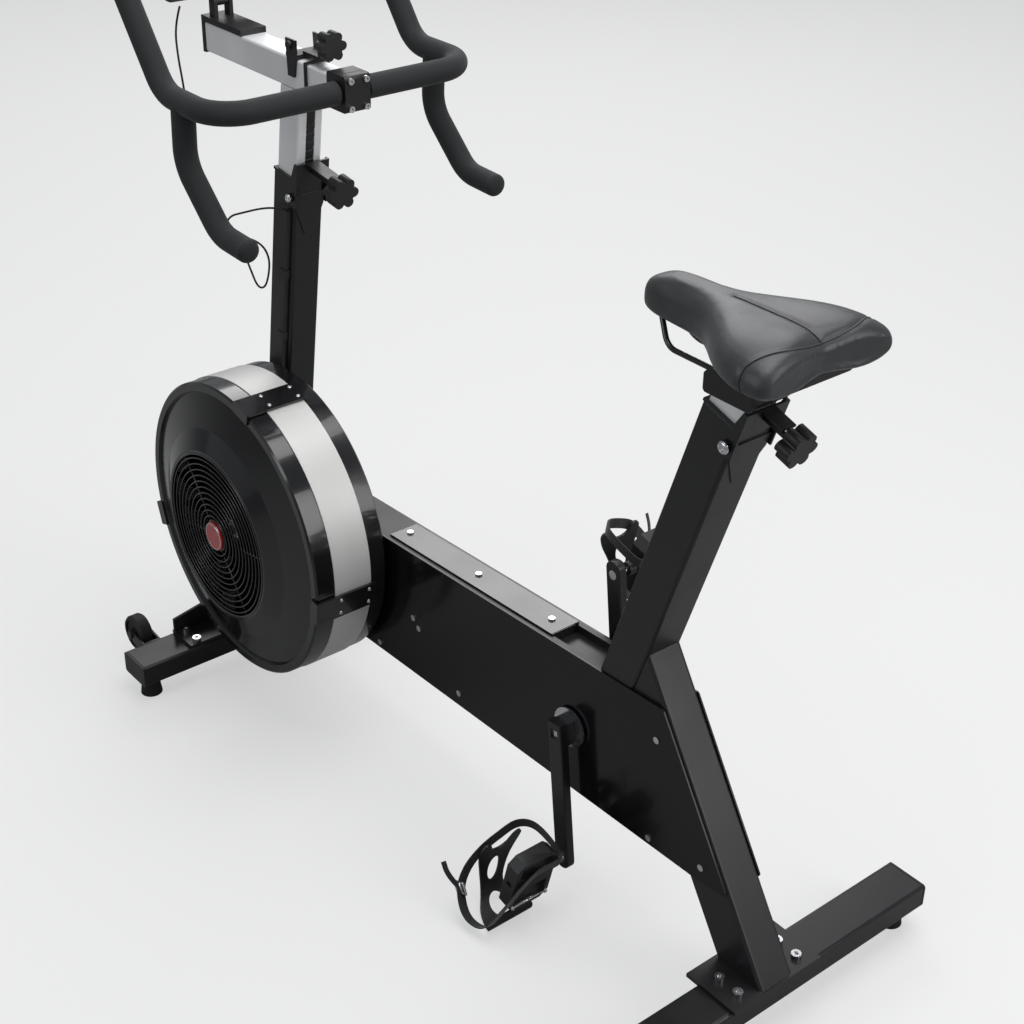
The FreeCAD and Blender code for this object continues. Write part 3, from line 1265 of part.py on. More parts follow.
def make_fasteners():
    fixings = []
    pitch = dim("bolt_pitch")
    spread = dim("bolt_spread")
    for x, y in ((dim("rear_bar_x"), spread), (dim("front_bar_x") + 3, 196)):
        for side in (LEFT, RIGHT):
            for step in (-pitch, pitch):
                fixings.append(screw(spot(x + step, side * y, FLOOR_PLATE), -Z_AXIS, 7, 6, 4, 6))
    for x in (-421, -252, -87):
        z = dim("case_top") + dim("case_top_slope") * x + 3.0
        fixings.append(cylinder(5, 2.6, spot(x, 0, z + 0.3), Z_AXIS))
    left_face = -dim("frame_width") / 2 - dim("panel_thickness")
    right_face = dim("frame_width") / 2 - 2 + dim("panel_thickness")
    for x, z in PANEL_SCREWS:
        fixings.append(cylinder(5, 2.2, spot(x, left_face, z), -Y_AXIS))
        fixings.append(cylinder(5, 2.2, spot(x, right_face, z), Y_AXIS))
    centre = spot(dim("fan_x"), 0, dim("fan_z"))
    axle = dim("axle_diameter") / 2
    fixings.append(ring(axle, 13, 29.1, 36, centre, Y_AXIS))
    fixings.append(ring(axle, 13, dim("grille_y") + 9.2, dim("grille_y") + 17, centre, Y_AXIS))
    group(fixings, "frame_fasteners")


make_base()
make_rear_leg()
make_seat_tube()
make_mast_tube()
make_front_bracket()
make_case()
make_panels()
make_top_cover()
make_drive()
make_cranks()
make_pedals()
make_fan()
make_transport_wheels()
make_liners()
make_mast_post()
make_latches()
make_top_tube()
make_clamp()
make_handlebar()
make_console()
make_cable()
make_cable_strip()
make_seat_post()
make_saddle_pieces()
make_fasteners()

doc.recompute()
for item in doc.Objects:
    if "Invalid" in item.State or "Error" in item.State:
        raise RuntimeError("%s: %s" % (item.Name, item.State))
for piece in parts:
    if piece.Shape.isNull() or not piece.Shape.isValid():
        raise RuntimeError(piece.Label + ": the shape is not valid")

os.makedirs("parts", exist_ok=True)
whole = FreeCAD.BoundBox()
for piece in parts:
    piece.Shape.exportStep("parts/%s.step" % piece.Label)
    whole.add(piece.Shape.BoundBox)
print("%d pieces, X %.1f to %.1f, Y %.1f to %.1f, Z %.1f to %.1f"
      % (len(parts), whole.XMin, whole.XMax, whole.YMin, whole.YMax, whole.ZMin, whole.ZMax))
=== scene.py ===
import json
import math

import bmesh
import bpy
from mathutils import Matrix, Vector
from mathutils.bvhtree import BVHTree


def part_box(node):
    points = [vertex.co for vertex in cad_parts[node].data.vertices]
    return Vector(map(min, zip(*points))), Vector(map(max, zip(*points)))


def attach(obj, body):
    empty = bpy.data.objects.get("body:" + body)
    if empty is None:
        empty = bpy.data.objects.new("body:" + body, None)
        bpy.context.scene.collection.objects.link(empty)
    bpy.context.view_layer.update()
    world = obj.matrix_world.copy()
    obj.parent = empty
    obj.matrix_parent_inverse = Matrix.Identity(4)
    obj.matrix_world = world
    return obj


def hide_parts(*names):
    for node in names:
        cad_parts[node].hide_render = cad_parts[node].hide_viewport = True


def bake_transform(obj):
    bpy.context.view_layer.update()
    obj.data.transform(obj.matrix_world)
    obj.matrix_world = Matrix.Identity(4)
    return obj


# The looks of the exercise bike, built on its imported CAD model. Everything is in the row's frame:
# metres, +X towards the saddle, +Y towards the rider's right, +Z up.

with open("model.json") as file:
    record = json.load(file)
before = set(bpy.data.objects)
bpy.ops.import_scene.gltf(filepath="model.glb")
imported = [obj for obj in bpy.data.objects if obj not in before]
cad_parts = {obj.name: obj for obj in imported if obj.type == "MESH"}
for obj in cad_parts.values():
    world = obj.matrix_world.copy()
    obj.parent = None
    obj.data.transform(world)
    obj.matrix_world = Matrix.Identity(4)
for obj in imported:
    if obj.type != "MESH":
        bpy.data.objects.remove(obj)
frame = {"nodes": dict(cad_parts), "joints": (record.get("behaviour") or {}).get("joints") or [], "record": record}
NODES = frame["nodes"]
JOINTS = {joint["name"]: joint for joint in frame["joints"]}
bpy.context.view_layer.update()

BRACKET_X = JOINTS["crank_spin"]["pos_m"][0]


def spot(x, y, z):
    """A point given in millimetres, with X measured from the bottom bracket."""
    return Vector((BRACKET_X + x / 1000, y / 1000, z / 1000))


def mm(*values):
    """A vector given in millimetres."""
    return Vector(values) / 1000


def joint_spot(name):
    return Vector(JOINTS[name]["pos_m"])


# ---------------------------------------------------------------- Camera

CAMERA_PLACE = (1.7355, -1.3421, 1.7766)
CAMERA_AZIMUTH = 50.46
CAMERA_ELEVATION = 29.88
CAMERA_ROLL = 0.9
CAMERA_LENS = 61.75
SENSOR_WIDTH = 36
CAMERA_SHIFT = -0.0189


def make_camera():
    azimuth = math.radians(CAMERA_AZIMUTH)
    elevation = math.radians(CAMERA_ELEVATION)
    roll = math.radians(CAMERA_ROLL)
    back = Vector((math.sin(azimuth) * math.cos(elevation),
                   -math.cos(azimuth) * math.cos(elevation), math.sin(elevation)))
    right = Vector((math.cos(azimuth), math.sin(azimuth), 0))
    up = back.cross(right)
    side = right * math.cos(roll) + up * math.sin(roll)
    over = up * math.cos(roll) - right * math.sin(roll)
    data = bpy.data.cameras.new("Camera")
    data.sensor_width = SENSOR_WIDTH
    data.lens = CAMERA_LENS
    data.shift_y = CAMERA_SHIFT
    camera = bpy.data.objects.new("Camera", data)
    matrix = Matrix((side, over, back)).transposed().to_4x4()
    matrix.translation = Vector(CAMERA_PLACE)
    camera.matrix_world = matrix
    bpy.context.scene.collection.objects.link(camera)
    bpy.context.scene.camera = camera


# ---------------------------------------------------------------- Studio

def area_light(name, place, target, size, power, colour=(1, 1, 1)):
    data = bpy.data.lights.new(name, "AREA")
    data.shape = "RECTANGLE"
    data.size, data.size_y = size
    data.energy = power
    data.color = colour
    light = bpy.data.objects.new(name, data)
    light.visible_camera = False
    light.location = place
    light.rotation_mode = "QUATERNION"
    light.rotation_quaternion = (Vector(target) - Vector(place)).to_track_quat("-Z", "Y")
    bpy.context.scene.collection.objects.link(light)


def make_world():
    """A dim even surround, seen as pale paper where nothing stands in front of it."""
    world = bpy.data.worlds.new("Studio")
    bpy.context.scene.world = world
    world.use_nodes = True
    tree = world.node_tree
    tree.nodes.clear()
    output = tree.nodes.new("ShaderNodeOutputWorld")
    paper = tree.nodes.new("ShaderNodeBackground")
    paper.inputs["Color"].default_value = (0.88, 0.88, 0.88, 1)
    surround = tree.nodes.new("ShaderNodeBackground")
    surround.inputs["Color"].default_value = (0.93, 0.96, 1, 1)
    surround.inputs["Strength"].default_value = 0.30
    path = tree.nodes.new("ShaderNodeLightPath")
    mix = tree.nodes.new("ShaderNodeMixShader")
    tree.links.new(path.outputs["Is Camera Ray"], mix.inputs["Fac"])
    tree.links.new(surround.outputs[0], mix.inputs[1])
    tree.links.new(paper.outputs[0], mix.inputs[2])
    tree.links.new(mix.outputs[0], output.inputs["Surface"])


FLOOR_REACH = 40
FLOOR_DROP = 0.0005


def make_floor():
    """A pale floor that is brighter to the eye than it is as a lamp, as cut-out studio paper is."""
    mesh = bpy.data.meshes.new("Floor")
    corners = [(-FLOOR_REACH, -FLOOR_REACH, 0), (FLOOR_REACH, -FLOOR_REACH, 0),
               (FLOOR_REACH, FLOOR_REACH, 0), (-FLOOR_REACH, FLOOR_REACH, 0)]
    mesh.from_pydata(corners, [], [(0, 1, 2, 3)])
    floor = bpy.data.objects.new("Floor", mesh)
    floor.location.z = -FLOOR_DROP
    bpy.context.scene.collection.objects.link(floor)
    paint = bpy.data.materials.new("Floor")
    paint.use_nodes = True
    tree = paint.node_tree
    tree.nodes.clear()
    output = tree.nodes.new("ShaderNodeOutputMaterial")
    matte = tree.nodes.new("ShaderNodeBsdfDiffuse")
    matte.inputs["Color"].default_value = (0.34, 0.34, 0.34, 1)
    glow = tree.nodes.new("ShaderNodeEmission")
    glow.inputs["Color"].default_value = (1, 1, 1, 1)
    glow.inputs["Strength"].default_value = 0.52
    both = tree.nodes.new("ShaderNodeAddShader")
    path = tree.nodes.new("ShaderNodeLightPath")
    mix = tree.nodes.new("ShaderNodeMixShader")
    tree.links.new(matte.outputs[0], both.inputs[0])
    tree.links.new(glow.outputs[0], both.inputs[1])
    tree.links.new(path.outputs["Is Camera Ray"], mix.inputs["Fac"])
    tree.links.new(matte.outputs[0], mix.inputs[1])
    tree.links.new(both.outputs[0], mix.inputs[2])
    tree.links.new(mix.outputs[0], output.inputs["Surface"])
    mesh.materials.append(paint)


def make_studio():
    bpy.context.scene.view_settings.view_transform = "Standard"
    middle = (0, 0, 0.5)
    area_light("TopSoftbox", (0.3, 0.3, 3.4), middle, (2.6, 2.0), 62)
    area_light("RearSoftbox", (3.2, 1.3, 1.9), middle, (1.4, 2.4), 42)
    area_light("LeftSoftbox", (-0.6, -3.8, 2.3), middle, (2.6, 1.2), 26, (0.95, 0.98, 1))
    area_light("FrontSoftbox", (-3.3, 2.7, 3.2), middle, (3.4, 1.7), 70)
    make_world()
    make_floor()


# ---------------------------------------------------------------- Materials

def material(name, colour, rough, metallic=0.0, vary=0.14, patch=14.0, grain=600.0, relief=0.05,
             depth=0.0002, stretch=(1, 1, 1), coat=0.0, coat_rough=0.1, specular=0.5, sheen=0.0,
             rough_vary=0.06, cells=False):
    """A procedural finish: patchy colour and roughness over a fine surface grain."""
    made = bpy.data.materials.new(name)
    made.use_nodes = True
    made.diffuse_color = (*colour, 1)
    tree = made.node_tree
    shader = tree.nodes["Principled BSDF"]
    shader.inputs["Metallic"].default_value = metallic
    shader.inputs["Specular IOR Level"].default_value = specular
    shader.inputs["Coat Weight"].default_value = coat
    shader.inputs["Coat Roughness"].default_value = coat_rough
    shader.inputs["Sheen Weight"].default_value = sheen
    shader.inputs["Sheen Roughness"].default_value = 0.4

    place = tree.nodes.new("ShaderNodeTexCoord")
    mapping = tree.nodes.new("ShaderNodeMapping")
    mapping.inputs["Scale"].default_value = stretch
    tree.links.new(place.outputs["Object"], mapping.inputs["Vector"])

    patches = tree.nodes.new("ShaderNodeTexNoise")
    patches.inputs["Scale"].default_value = patch
    patches.inputs["Detail"].default_value = 5
    tree.links.new(mapping.outputs["Vector"], patches.inputs["Vector"])
    ramp = tree.nodes.new("ShaderNodeValToRGB")
    dark, light = ramp.color_ramp.elements
    dark.position = 0.3
    light.position = 0.7
    dark.color = (*(c * (1 - vary) for c in colour), 1)
    light.color = (*(min(1, c * (1 + vary)) for c in colour), 1)
    tree.links.new(patches.outputs["Fac"], ramp.inputs["Fac"])
    tree.links.new(ramp.outputs["Color"], shader.inputs["Base Color"])

    spread = tree.nodes.new("ShaderNodeMapRange")
    spread.inputs["From Min"].default_value = 0.3
    spread.inputs["From Max"].default_value = 0.7
    spread.inputs["To Min"].default_value = max(0.02, rough - rough_vary)
    spread.inputs["To Max"].default_value = min(1, rough + rough_vary)
    tree.links.new(patches.outputs["Fac"], spread.inputs["Value"])
    tree.links.new(spread.outputs["Result"], shader.inputs["Roughness"])

    if cells:
        texture = tree.nodes.new("ShaderNodeTexVoronoi")
        height = texture.outputs["Distance"]
    else:
        texture = tree.nodes.new("ShaderNodeTexNoise")
        texture.inputs["Detail"].default_value = 3
        height = texture.outputs["Fac"]
    texture.inputs["Scale"].default_value = grain
    tree.links.new(mapping.outputs["Vector"], texture.inputs["Vector"])
    bump = tree.nodes.new("ShaderNodeBump")
    bump.inputs["Strength"].default_value = relief
    bump.inputs["Distance"].default_value = depth
    tree.links.new(height, bump.inputs["Height"])
    tree.links.new(bump.outputs["Normal"], shader.inputs["Normal"])
    return made


def woven(name, colour):
    """A narrow woven webbing: two crossing sets of threads."""
    made = material(name, colour, 0.72, patch=40, grain=900, relief=0.2, sheen=0.4)
    tree = made.node_tree
    place = tree.nodes.new("ShaderNodeTexCoord")
    both = tree.nodes.new("ShaderNodeMath")
    both.operation = "MAXIMUM"
    for socket, direction in enumerate(("X", "Z")):
        wave = tree.nodes.new("ShaderNodeTexWave")
        wave.bands_direction = direction
        wave.inputs["Scale"].default_value = 260
        tree.links.new(place.outputs["Object"], wave.inputs["Vector"])
        tree.links.new(wave.outputs["Fac"], both.inputs[socket])
    bump = tree.nodes.new("ShaderNodeBump")
    bump.inputs["Strength"].default_value = 0.5
    bump.inputs["Distance"].default_value = 0.0004
    tree.links.new(both.outputs[0], bump.inputs["Height"])
    tree.links.new(bump.outputs["Normal"], tree.nodes["Principled BSDF"].inputs["Normal"])
    return made


FINISHES = {
    "frame_black": material("FramePowderCoat", (0.012, 0.012, 0.013), 0.36, grain=1100, relief=0.16,
                            specular=0.34, coat=0.12, coat_rough=0.22, rough_vary=0.05),
    "case_black": material("CaseGlossPlastic", (0.007, 0.007, 0.008), 0.20, grain=260, relief=0.03,
                           specular=0.42, coat=0.45, coat_rough=0.06, rough_vary=0.05, patch=9),
    "plastic_black": material("MouldedPlastic", (0.015, 0.015, 0.016), 0.44, grain=1500, relief=0.3,
                              specular=0.42, rough_vary=0.08),
    "tube_silver": material("SatinAluminium", (0.86, 0.86, 0.87), 0.40, metallic=0.30, grain=500,
                            relief=0.06, stretch=(1, 1, 0.03), vary=0.03),
    "band_silver": material("SatinBand", (0.66, 0.66, 0.64), 0.48, metallic=0.25, grain=700,
                            relief=0.1, stretch=(0.05, 1, 0.05), vary=0.05),
    "steel": material("BrightSteel", (0.68, 0.68, 0.70), 0.24, metallic=1, grain=400, relief=0.05,
                      vary=0.06),
    "foam": material("GripFoam", (0.020, 0.021, 0.022), 0.80, grain=1300, relief=0.5, depth=0.0005,
                     specular=0.35, sheen=0.12, cells=True, patch=30),
    "rubber": material("Rubber", (0.013, 0.013, 0.013), 0.62, grain=900, relief=0.2, specular=0.35),
    "vinyl": material("SaddleVinyl", (0.034, 0.035, 0.037), 0.36, grain=1100, relief=0.32,
                      depth=0.0004, specular=0.5, cells=True, patch=20, rough_vary=0.07, sheen=0.1),
    "badge_red": material("BadgeRed", (0.36, 0.012, 0.014), 0.22, grain=300, relief=0.03, coat=0.6),
    "strap": woven("StrapWebbing", (0.012, 0.012, 0.013)),
}
PANEL = material("PanelGloss", (0.006, 0.006, 0.007), 0.16, grain=300, relief=0.03, specular=0.22,
                 coat=0.1, coat_rough=0.05, rough_vary=0.04, patch=7)
SCREEN = material("ScreenGlass", (0.03, 0.045, 0.06), 0.08, grain=200, relief=0.01, coat=1.0,
                  coat_rough=0.02)


def dress_frame():
    """Gives each CAD node the finish of its slot, but gloss black to the side panels and the rails."""
    for row in frame["record"]["subparts"]:
        materials = NODES[row["node"]].data.materials
        materials.clear()
        materials.append(FINISHES[row["material_slot"]])
    for name in ("panel_left", "panel_right"):
        NODES[name].data.materials[0] = PANEL
    NODES["saddle_rails"].data.materials[0] = FINISHES["case_black"]


def soften(width, *names):
    """Rounds the sharp edges of CAD nodes as they are shown."""
    for name in names:
        node = NODES[name]
        weld = node.modifiers.new("Weld", "WELD")
        weld.merge_threshold = 0.000005
        bevel = node.modifiers.new("Bevel", "BEVEL")
        bevel.width = width / 1000
        bevel.segments = 2
        bevel.limit_method = "ANGLE"
        bevel.angle_limit = math.radians(40)


# ---------------------------------------------------------------- Mesh helpers

def add_object(name, mesh, finish, smooth=True):
    piece = bpy.data.objects.new(name, mesh)
    bpy.context.scene.collection.objects.link(piece)
    mesh.materials.append(finish)
    mesh.polygons.foreach_set("use_smooth", [smooth] * len(mesh.polygons))
    return piece


def from_bmesh(name, shape, finish, smooth=True, matrix=None):
    mesh = bpy.data.meshes.new(name)
    if matrix is not None:
        shape.transform(matrix)
    bmesh.ops.recalc_face_normals(shape, faces=shape.faces)
    shape.to_mesh(mesh)
    shape.free()
    return add_object(name, mesh, finish, smooth)


def rounding(piece, width, angle=35, segments=2):
    bevel = piece.modifiers.new("Bevel", "BEVEL")
    bevel.width = width / 1000
    bevel.segments = segments
    bevel.limit_method = "ANGLE"
    bevel.angle_limit = math.radians(angle)


def skin_rings(shape, rings, closed=False, caps=True):
    """Faces between rings of vertices that each hold the same number."""
    size = len(rings[0])
    pairs = list(zip(rings, rings[1:]))
    if closed:
        pairs.append((rings[-1], rings[0]))
    for one, other in pairs:
        for k in range(size):
            n = (k + 1) % size
            shape.faces.new((one[k], one[n], other[n], other[k]))
    if caps and not closed:
        shape.faces.new(rings[0][::-1])
        shape.faces.new(rings[-1])


def sweep(shape, path, section, closed=False, caps=True):
    """Sweeps a section, given as (across, up) pairs, along a path without twisting it."""
    count = len(path)
    tangents = []
    for i in range(count):
        ahead = path[(i + 1) % count] if closed or i < count - 1 else path[i]
        behind = path[i - 1] if closed or i > 0 else path[i]
        tangents.append((ahead - behind).normalized())
    seed = Vector((0, 0, 1)) if abs(tangents[0].z) < 0.9 else Vector((1, 0, 0))
    across = tangents[0].cross(seed).normalized()
    rings = []
    for point, tangent in zip(path, tangents):
        across = (across - tangent * across.dot(tangent)).normalized()
        up = tangent.cross(across)
        rings.append([shape.verts.new(point + across * u + up * v) for u, v in section])
    skin_rings(shape, rings, closed, caps)


def lathe(shape, profile, count, matrix=None, closed=True):
    """Turns a profile of (radius, height) pairs about Z."""
    turn = matrix or Matrix.Identity(4)
    columns = []
    for i in range(count):
        angle = 2 * math.pi * i / count
        columns.append([shape.verts.new(turn @ Vector((r * math.cos(angle), r * math.sin(angle), h)))
                        for r, h in profile])
    size = len(profile)
    steps = size if closed else size - 1
    for i in range(count):
        one, other = columns[i], columns[(i + 1) % count]
        for k in range(steps):
            n = (k + 1) % size
            shape.faces.new((one[k], one[n], other[n], other[k]))
    if not closed:
        shape.faces.new([column[0] for column in columns][::-1])
        shape.faces.new([column[-1] for column in columns])


def facing(centre, direction):
    """A matrix that turns local Z to a direction, at a place."""
    turn = Vector(direction).to_track_quat("Z", "Y").to_matrix().to_4x4()
    return Matrix.Translation(centre) @ turn


def circle(radius, count=12):
    return [(radius * math.cos(2 * math.pi * i / count), radius * math.sin(2 * math.pi * i / count))
            for i in range(count)]


def smooth_path(points, per=8, closed=False):
    """A Catmull-Rom curve through the points."""
    if closed:
        ends = [points[-1], *points, points[0], points[1]]
    else:
        ends = [points[0] * 2 - points[1], *points, points[-1] * 2 - points[-2]]
    made = []
    for a, b, c, d in zip(ends, ends[1:], ends[2:], ends[3:]):
        for k in range(per):
            t = k / per
            made.append(0.5 * ((2 * b) + (c - a) * t + (2 * a - 5 * b + 4 * c - d) * t * t
                               + (3 * b - a - 3 * c + d) * t ** 3))
    if not closed:
        made.append(points[-1])
    return made


def domed_head(shape, centre, direction, radius, height):
    """A round screw head with a small hexagonal socket ring."""
    profile = [(radius, 0), (radius, height * 0.45), (radius * 0.86, height * 0.8),
               (radius * 0.6, height), (radius * 0.42, height), (radius * 0.38, height * 0.5)]
    lathe(shape, profile, 24, facing(centre, direction), closed=False)


def finish_piece(piece, body, slot, *stands_for):
    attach(piece, body)
    if stands_for:
        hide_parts(*stands_for)
    return piece


# ---------------------------------------------------------------- Console lead

LEAD_ROUTE = [
    (-902, -60, 1094), (-911, -66, 1064), (-902, -70, 1022), (-888, -72, 980), (-882, -72, 936),
    (-884, -70, 890), (-866, -66, 842), (-826, -60, 798), (-785, -54, 758), (-762, -50, 716),
    (-749, -47, 690), (-730, -45, 695), (-718, -44, 722), (-712, -45, 750), (-722, -50, 770),
    (-748, -60, 776), (-778, -68, 768), (-800, -68, 776), (-796, -62, 796), (-768, -52, 808),
    (-738, -44, 821), (-710, -37, 830), (-685.2, -31.5, 834)]
LEAD_DIAMETER = 0.0032


def make_lead():
    data = bpy.data.curves.new("LeadLine", "CURVE")
    data.dimensions = "3D"
    data.resolution_u = 10
    line = data.splines.new("NURBS")
    line.points.add(len(LEAD_ROUTE) - 1)
    for control, at in zip(line.points, LEAD_ROUTE):
        control.co = (*spot(*at), 1)
    line.order_u = 3
    line.use_endpoint_u = True
    helper = bpy.data.objects.new("LeadLine", data)
    bpy.context.scene.collection.objects.link(helper)
    bpy.context.view_layer.update()
    measured = bpy.data.meshes.new_from_object(helper)
    path = [v.co.copy() for v in measured.vertices]
    bpy.data.objects.remove(helper)
    shape = bmesh.new()
    sweep(shape, path, circle(LEAD_DIAMETER / 2, 10))
    lead = from_bmesh("console_lead", shape, FINISHES["rubber"])
    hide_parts("console_cable")
    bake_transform(lead)


# ---------------------------------------------------------------- Fan

FAN = spot(-666, 0, 336)
FAN_TURN = Matrix.Translation(FAN) @ Matrix.Rotation(math.radians(90), 4, "X")
GRILLE_LEVEL = 203
SPOKE_ANGLES = (8.6, 125.8, 188.6, 305.8)
STRAP_ANGLES = (76, -7.5, 198)
BADGE_RADIUS = 24
RING_STEP = 9.5
RING_COUNT = 11
RIM_RADIUS = 135.5
GUARD_WIRE = 0.0013
RIM_WIRE = 0.0022
SPOKE_WIRE = 0.0016
HUB_PROFILE = [(9, 194), (21, 194), (21, 197), (27, 197), (27, 200), (21, 200), (21, 198.8),
               (9, 198.8)]
STRAP_SCREW_RADIUS = 247.6
STRAP_SCREW_LEVELS = (80, 131)
STRAP_SCREW_SIDES = (-12, 12)


def ring_path(radius, level, count):
    return [mm(radius * math.cos(2 * math.pi * i / count), radius * math.sin(2 * math.pi * i / count),
               level) for i in range(count)]


def make_grille():
    """The wire guard: round rings on four round spokes, with a hub that carries the badge."""
    shape = bmesh.new()
    wire = circle(GUARD_WIRE, 8)
    for step in range(1, RING_COUNT + 1):
        ring = ring_path(BADGE_RADIUS + RING_STEP * step, GRILLE_LEVEL - 2.5, 80)
        sweep(shape, ring, wire, closed=True)
    sweep(shape, ring_path(RIM_RADIUS, GRILLE_LEVEL - 3.5, 96), circle(RIM_WIRE, 8), closed=True)
    for angle in SPOKE_ANGLES:
        heading = Vector((math.cos(math.radians(angle)), math.sin(math.radians(angle)), 0))
        back = Vector((0, 0, (GRILLE_LEVEL - 4.6) / 1000))
        sweep(shape, [heading * 0.020 + back, heading * 0.1365 + back], circle(SPOKE_WIRE, 10))
    lathe(shape, [(r / 1000, h / 1000) for r, h in HUB_PROFILE], 48)
    guard = from_bmesh("fan_guard", shape, FINISHES["case_black"], matrix=FAN_TURN)
    finish_piece(guard, "root", "plastic_black", "fan_grille")


def make_fan_trim():
    """The badge's bright ring, and the screws that hold the housing's straps."""
    shape = bmesh.new()
    sweep(shape, ring_path(21.5, GRILLE_LEVEL + 1.2, 64), circle(0.0011, 8), closed=True)
    ring = from_bmesh("badge_ring", shape, FINISHES["steel"], matrix=FAN_TURN)
    finish_piece(ring, "root", "steel")
    shape = bmesh.new()
    for angle in STRAP_ANGLES:
        turn = Matrix.Rotation(math.radians(angle), 4, "Z")
        for across in STRAP_SCREW_SIDES:
            for level in STRAP_SCREW_LEVELS:
                centre = FAN_TURN @ turn @ mm(STRAP_SCREW_RADIUS, across, level)
                out = FAN_TURN.to_3x3() @ turn.to_3x3() @ Vector((1, 0, 0))
                domed_head(shape, centre, out, 0.0032, 0.0018)
    screws = from_bmesh("strap_screws", shape, FINISHES["steel"])
    rounding(screws, 0.3)
    finish_piece(screws, "root", "steel")


# ---------------------------------------------------------------- Pedals

CAGE_PATH = [(-57.6, -9), (-77, -8), (-82, 24), (-73, 50), (-34, 65), (11, 66)]
CAGE_EDGE = [(0, 35), (22, 38), (52, 33), (80, 20), (110, 24), (136, 32), (156, 35), (163, 29),
             (159, 20), (147, 13), (143, 0)]
CAGE_SHIFT = 30
CAGE_THICKNESS = 0.0034
CAGE_EAR = 0.143
PEDAL_LEAN = -76
STRAP_LOOP = [
    (21, 0, -15.5), (21, -30, -15.5), (21, -44, -12), (24, -48, 20), (24, -44, 52), (18, -28, 69),
    (6, 0, 72), (-10, 26, 73), (-34, 48, 71), (-56, 64, 60), (-72, 74, 36), (-74, 76, 12),
    (-62, 70, -10), (-30, 50, -15.5), (2, 24, -15.5)]
STRAP_TAIL = [(-56, 66, 61), (-48, 72, 71), (-36, 77, 82), (-24, 78, 92)]
BUCKLE_OUTLINE = [(-9, -11), (9, -11), (9, 11), (-9, 11)]
ROD_X, ROD_Z, ROD_HALF = -44, -12.4, 30


def flat_sheet(outlines, step):
    """A flat sheet from closed outlines, the edge and then its holes, cut into strips along X."""
    data = bpy.data.curves.new("Outline", "CURVE")
    data.dimensions = "2D"
    data.fill_mode = "FRONT"
    for outline in outlines:
        line = data.splines.new("POLY")
        line.points.add(len(outline) - 1)
        for control, point in zip(line.points, outline):
            control.co = (point.x, point.y, 0, 1)
        line.use_cyclic_u = True
    helper = bpy.data.objects.new("Outline", data)
    bpy.context.scene.collection.objects.link(helper)
    bpy.context.view_layer.update()
    mesh = bpy.data.meshes.new_from_object(helper)
    bpy.data.objects.remove(helper)
    shape = bmesh.new()
    shape.from_mesh(mesh)
    bpy.data.meshes.remove(mesh)
    bmesh.ops.remove_doubles(shape, verts=shape.verts, dist=1e-6)
    low = min(v.co.x for v in shape.verts)
    high = max(v.co.x for v in shape.verts)
    for i in range(1, int((high - low) / step)):
        bmesh.ops.bisect_plane(shape, geom=[*shape.verts, *shape.edges, *shape.faces],
                               plane_co=(low + i * step, 0, 0), plane_no=(1, 0, 0))
    return shape


def along(path, distance):
    """The point at a distance along a path."""
    for one, other in zip(path, path[1:]):
        run = (other - one).length
        if distance <= run:
            return one.lerp(other, distance / run)
        distance -= run
    return path[-1]


def oval(x, half_length, half_width, count=28):
    return [mm(x + half_length * math.cos(2 * math.pi * i / count),
               half_width * math.sin(2 * math.pi * i / count), 0) for i in range(count)]


def make_toe_cage(word, side, place):
    """A moulded plate with a narrow waist and two openings, bent up over the toe and outward."""
    half = [mm(s, t, 0) for s, t in CAGE_EDGE]
    other = [mm(s, -t, 0) for s, t in CAGE_EDGE[-2::-1]]
    edge = smooth_path(half + other, per=4, closed=True)
    shape = flat_sheet([edge, oval(50, 21, 15), oval(108, 19, 10.5)], 0.003)
    route = smooth_path([mm(x, 0, z) for x, z in CAGE_PATH], per=10)
    for vert in shape.verts:
        base = along(route, vert.co.x)
        outward = side * CAGE_SHIFT / 1000 * (1 - vert.co.x / CAGE_EAR)
        vert.co = Vector((base.x, vert.co.y + outward, base.z))
    cage = from_bmesh("toe_cage_" + word, shape, FINISHES["plastic_black"], matrix=place)
    thick = cage.modifiers.new("Solidify", "SOLIDIFY")
    thick.thickness = CAGE_THICKNESS
    thick.offset = 0
    rounding(cage, 0.8, angle=60)
    finish_piece(cage, "pedal_" + word, "plastic_black", "toe_clip_" + word)


def make_foot_strap(word, side, place):
    """The webbing loop, its steel buckle and its loose tail."""
    path = smooth_path([mm(x, side * y, z) for x, y, z in STRAP_LOOP], per=7, closed=True)
    flat = [(-0.0075, -0.0008), (0.0075, -0.0008), (0.0075, 0.0008), (-0.0075, 0.0008)]
    shape = bmesh.new()
    sweep(shape, path, flat, closed=True)
    slim = [(u * 0.5, v) for u, v in flat]
    sweep(shape, smooth_path([mm(x, side * y, z) for x, y, z in STRAP_TAIL], per=6), slim)
    strap = from_bmesh("foot_strap_" + word, shape, FINISHES["strap"], smooth=False, matrix=place)
    rounding(strap, 0.4, angle=60)
    finish_piece(strap, "pedal_" + word, "strap", "toe_strap_" + word)

    shape = bmesh.new()
    lean = place @ Matrix.Translation(mm(-57, side * 65.5, 60)) @ Matrix.Rotation(
        math.radians(-40), 4, "Y")
    corners = [mm(u, 0, v) for u, v in BUCKLE_OUTLINE]
    rails = []
    for one, other in zip(corners, corners[1:] + corners[:1]):
        rails.append(one.lerp(other, 0.12))
        rails.append(one.lerp(other, 0.88))
    sweep(shape, [lean @ p for p in smooth_path(rails, per=4, closed=True)], circle(0.0016, 8),
          closed=True)
    for level in (-3.5, 4):
        sweep(shape, [lean @ mm(-9, side * 1.2, level), lean @ mm(9, side * 1.2, level)],
              circle(0.0019, 10))
    buckle = from_bmesh("strap_buckle_" + word, shape, FINISHES["steel"])
    finish_piece(buckle, "pedal_" + word, "steel")


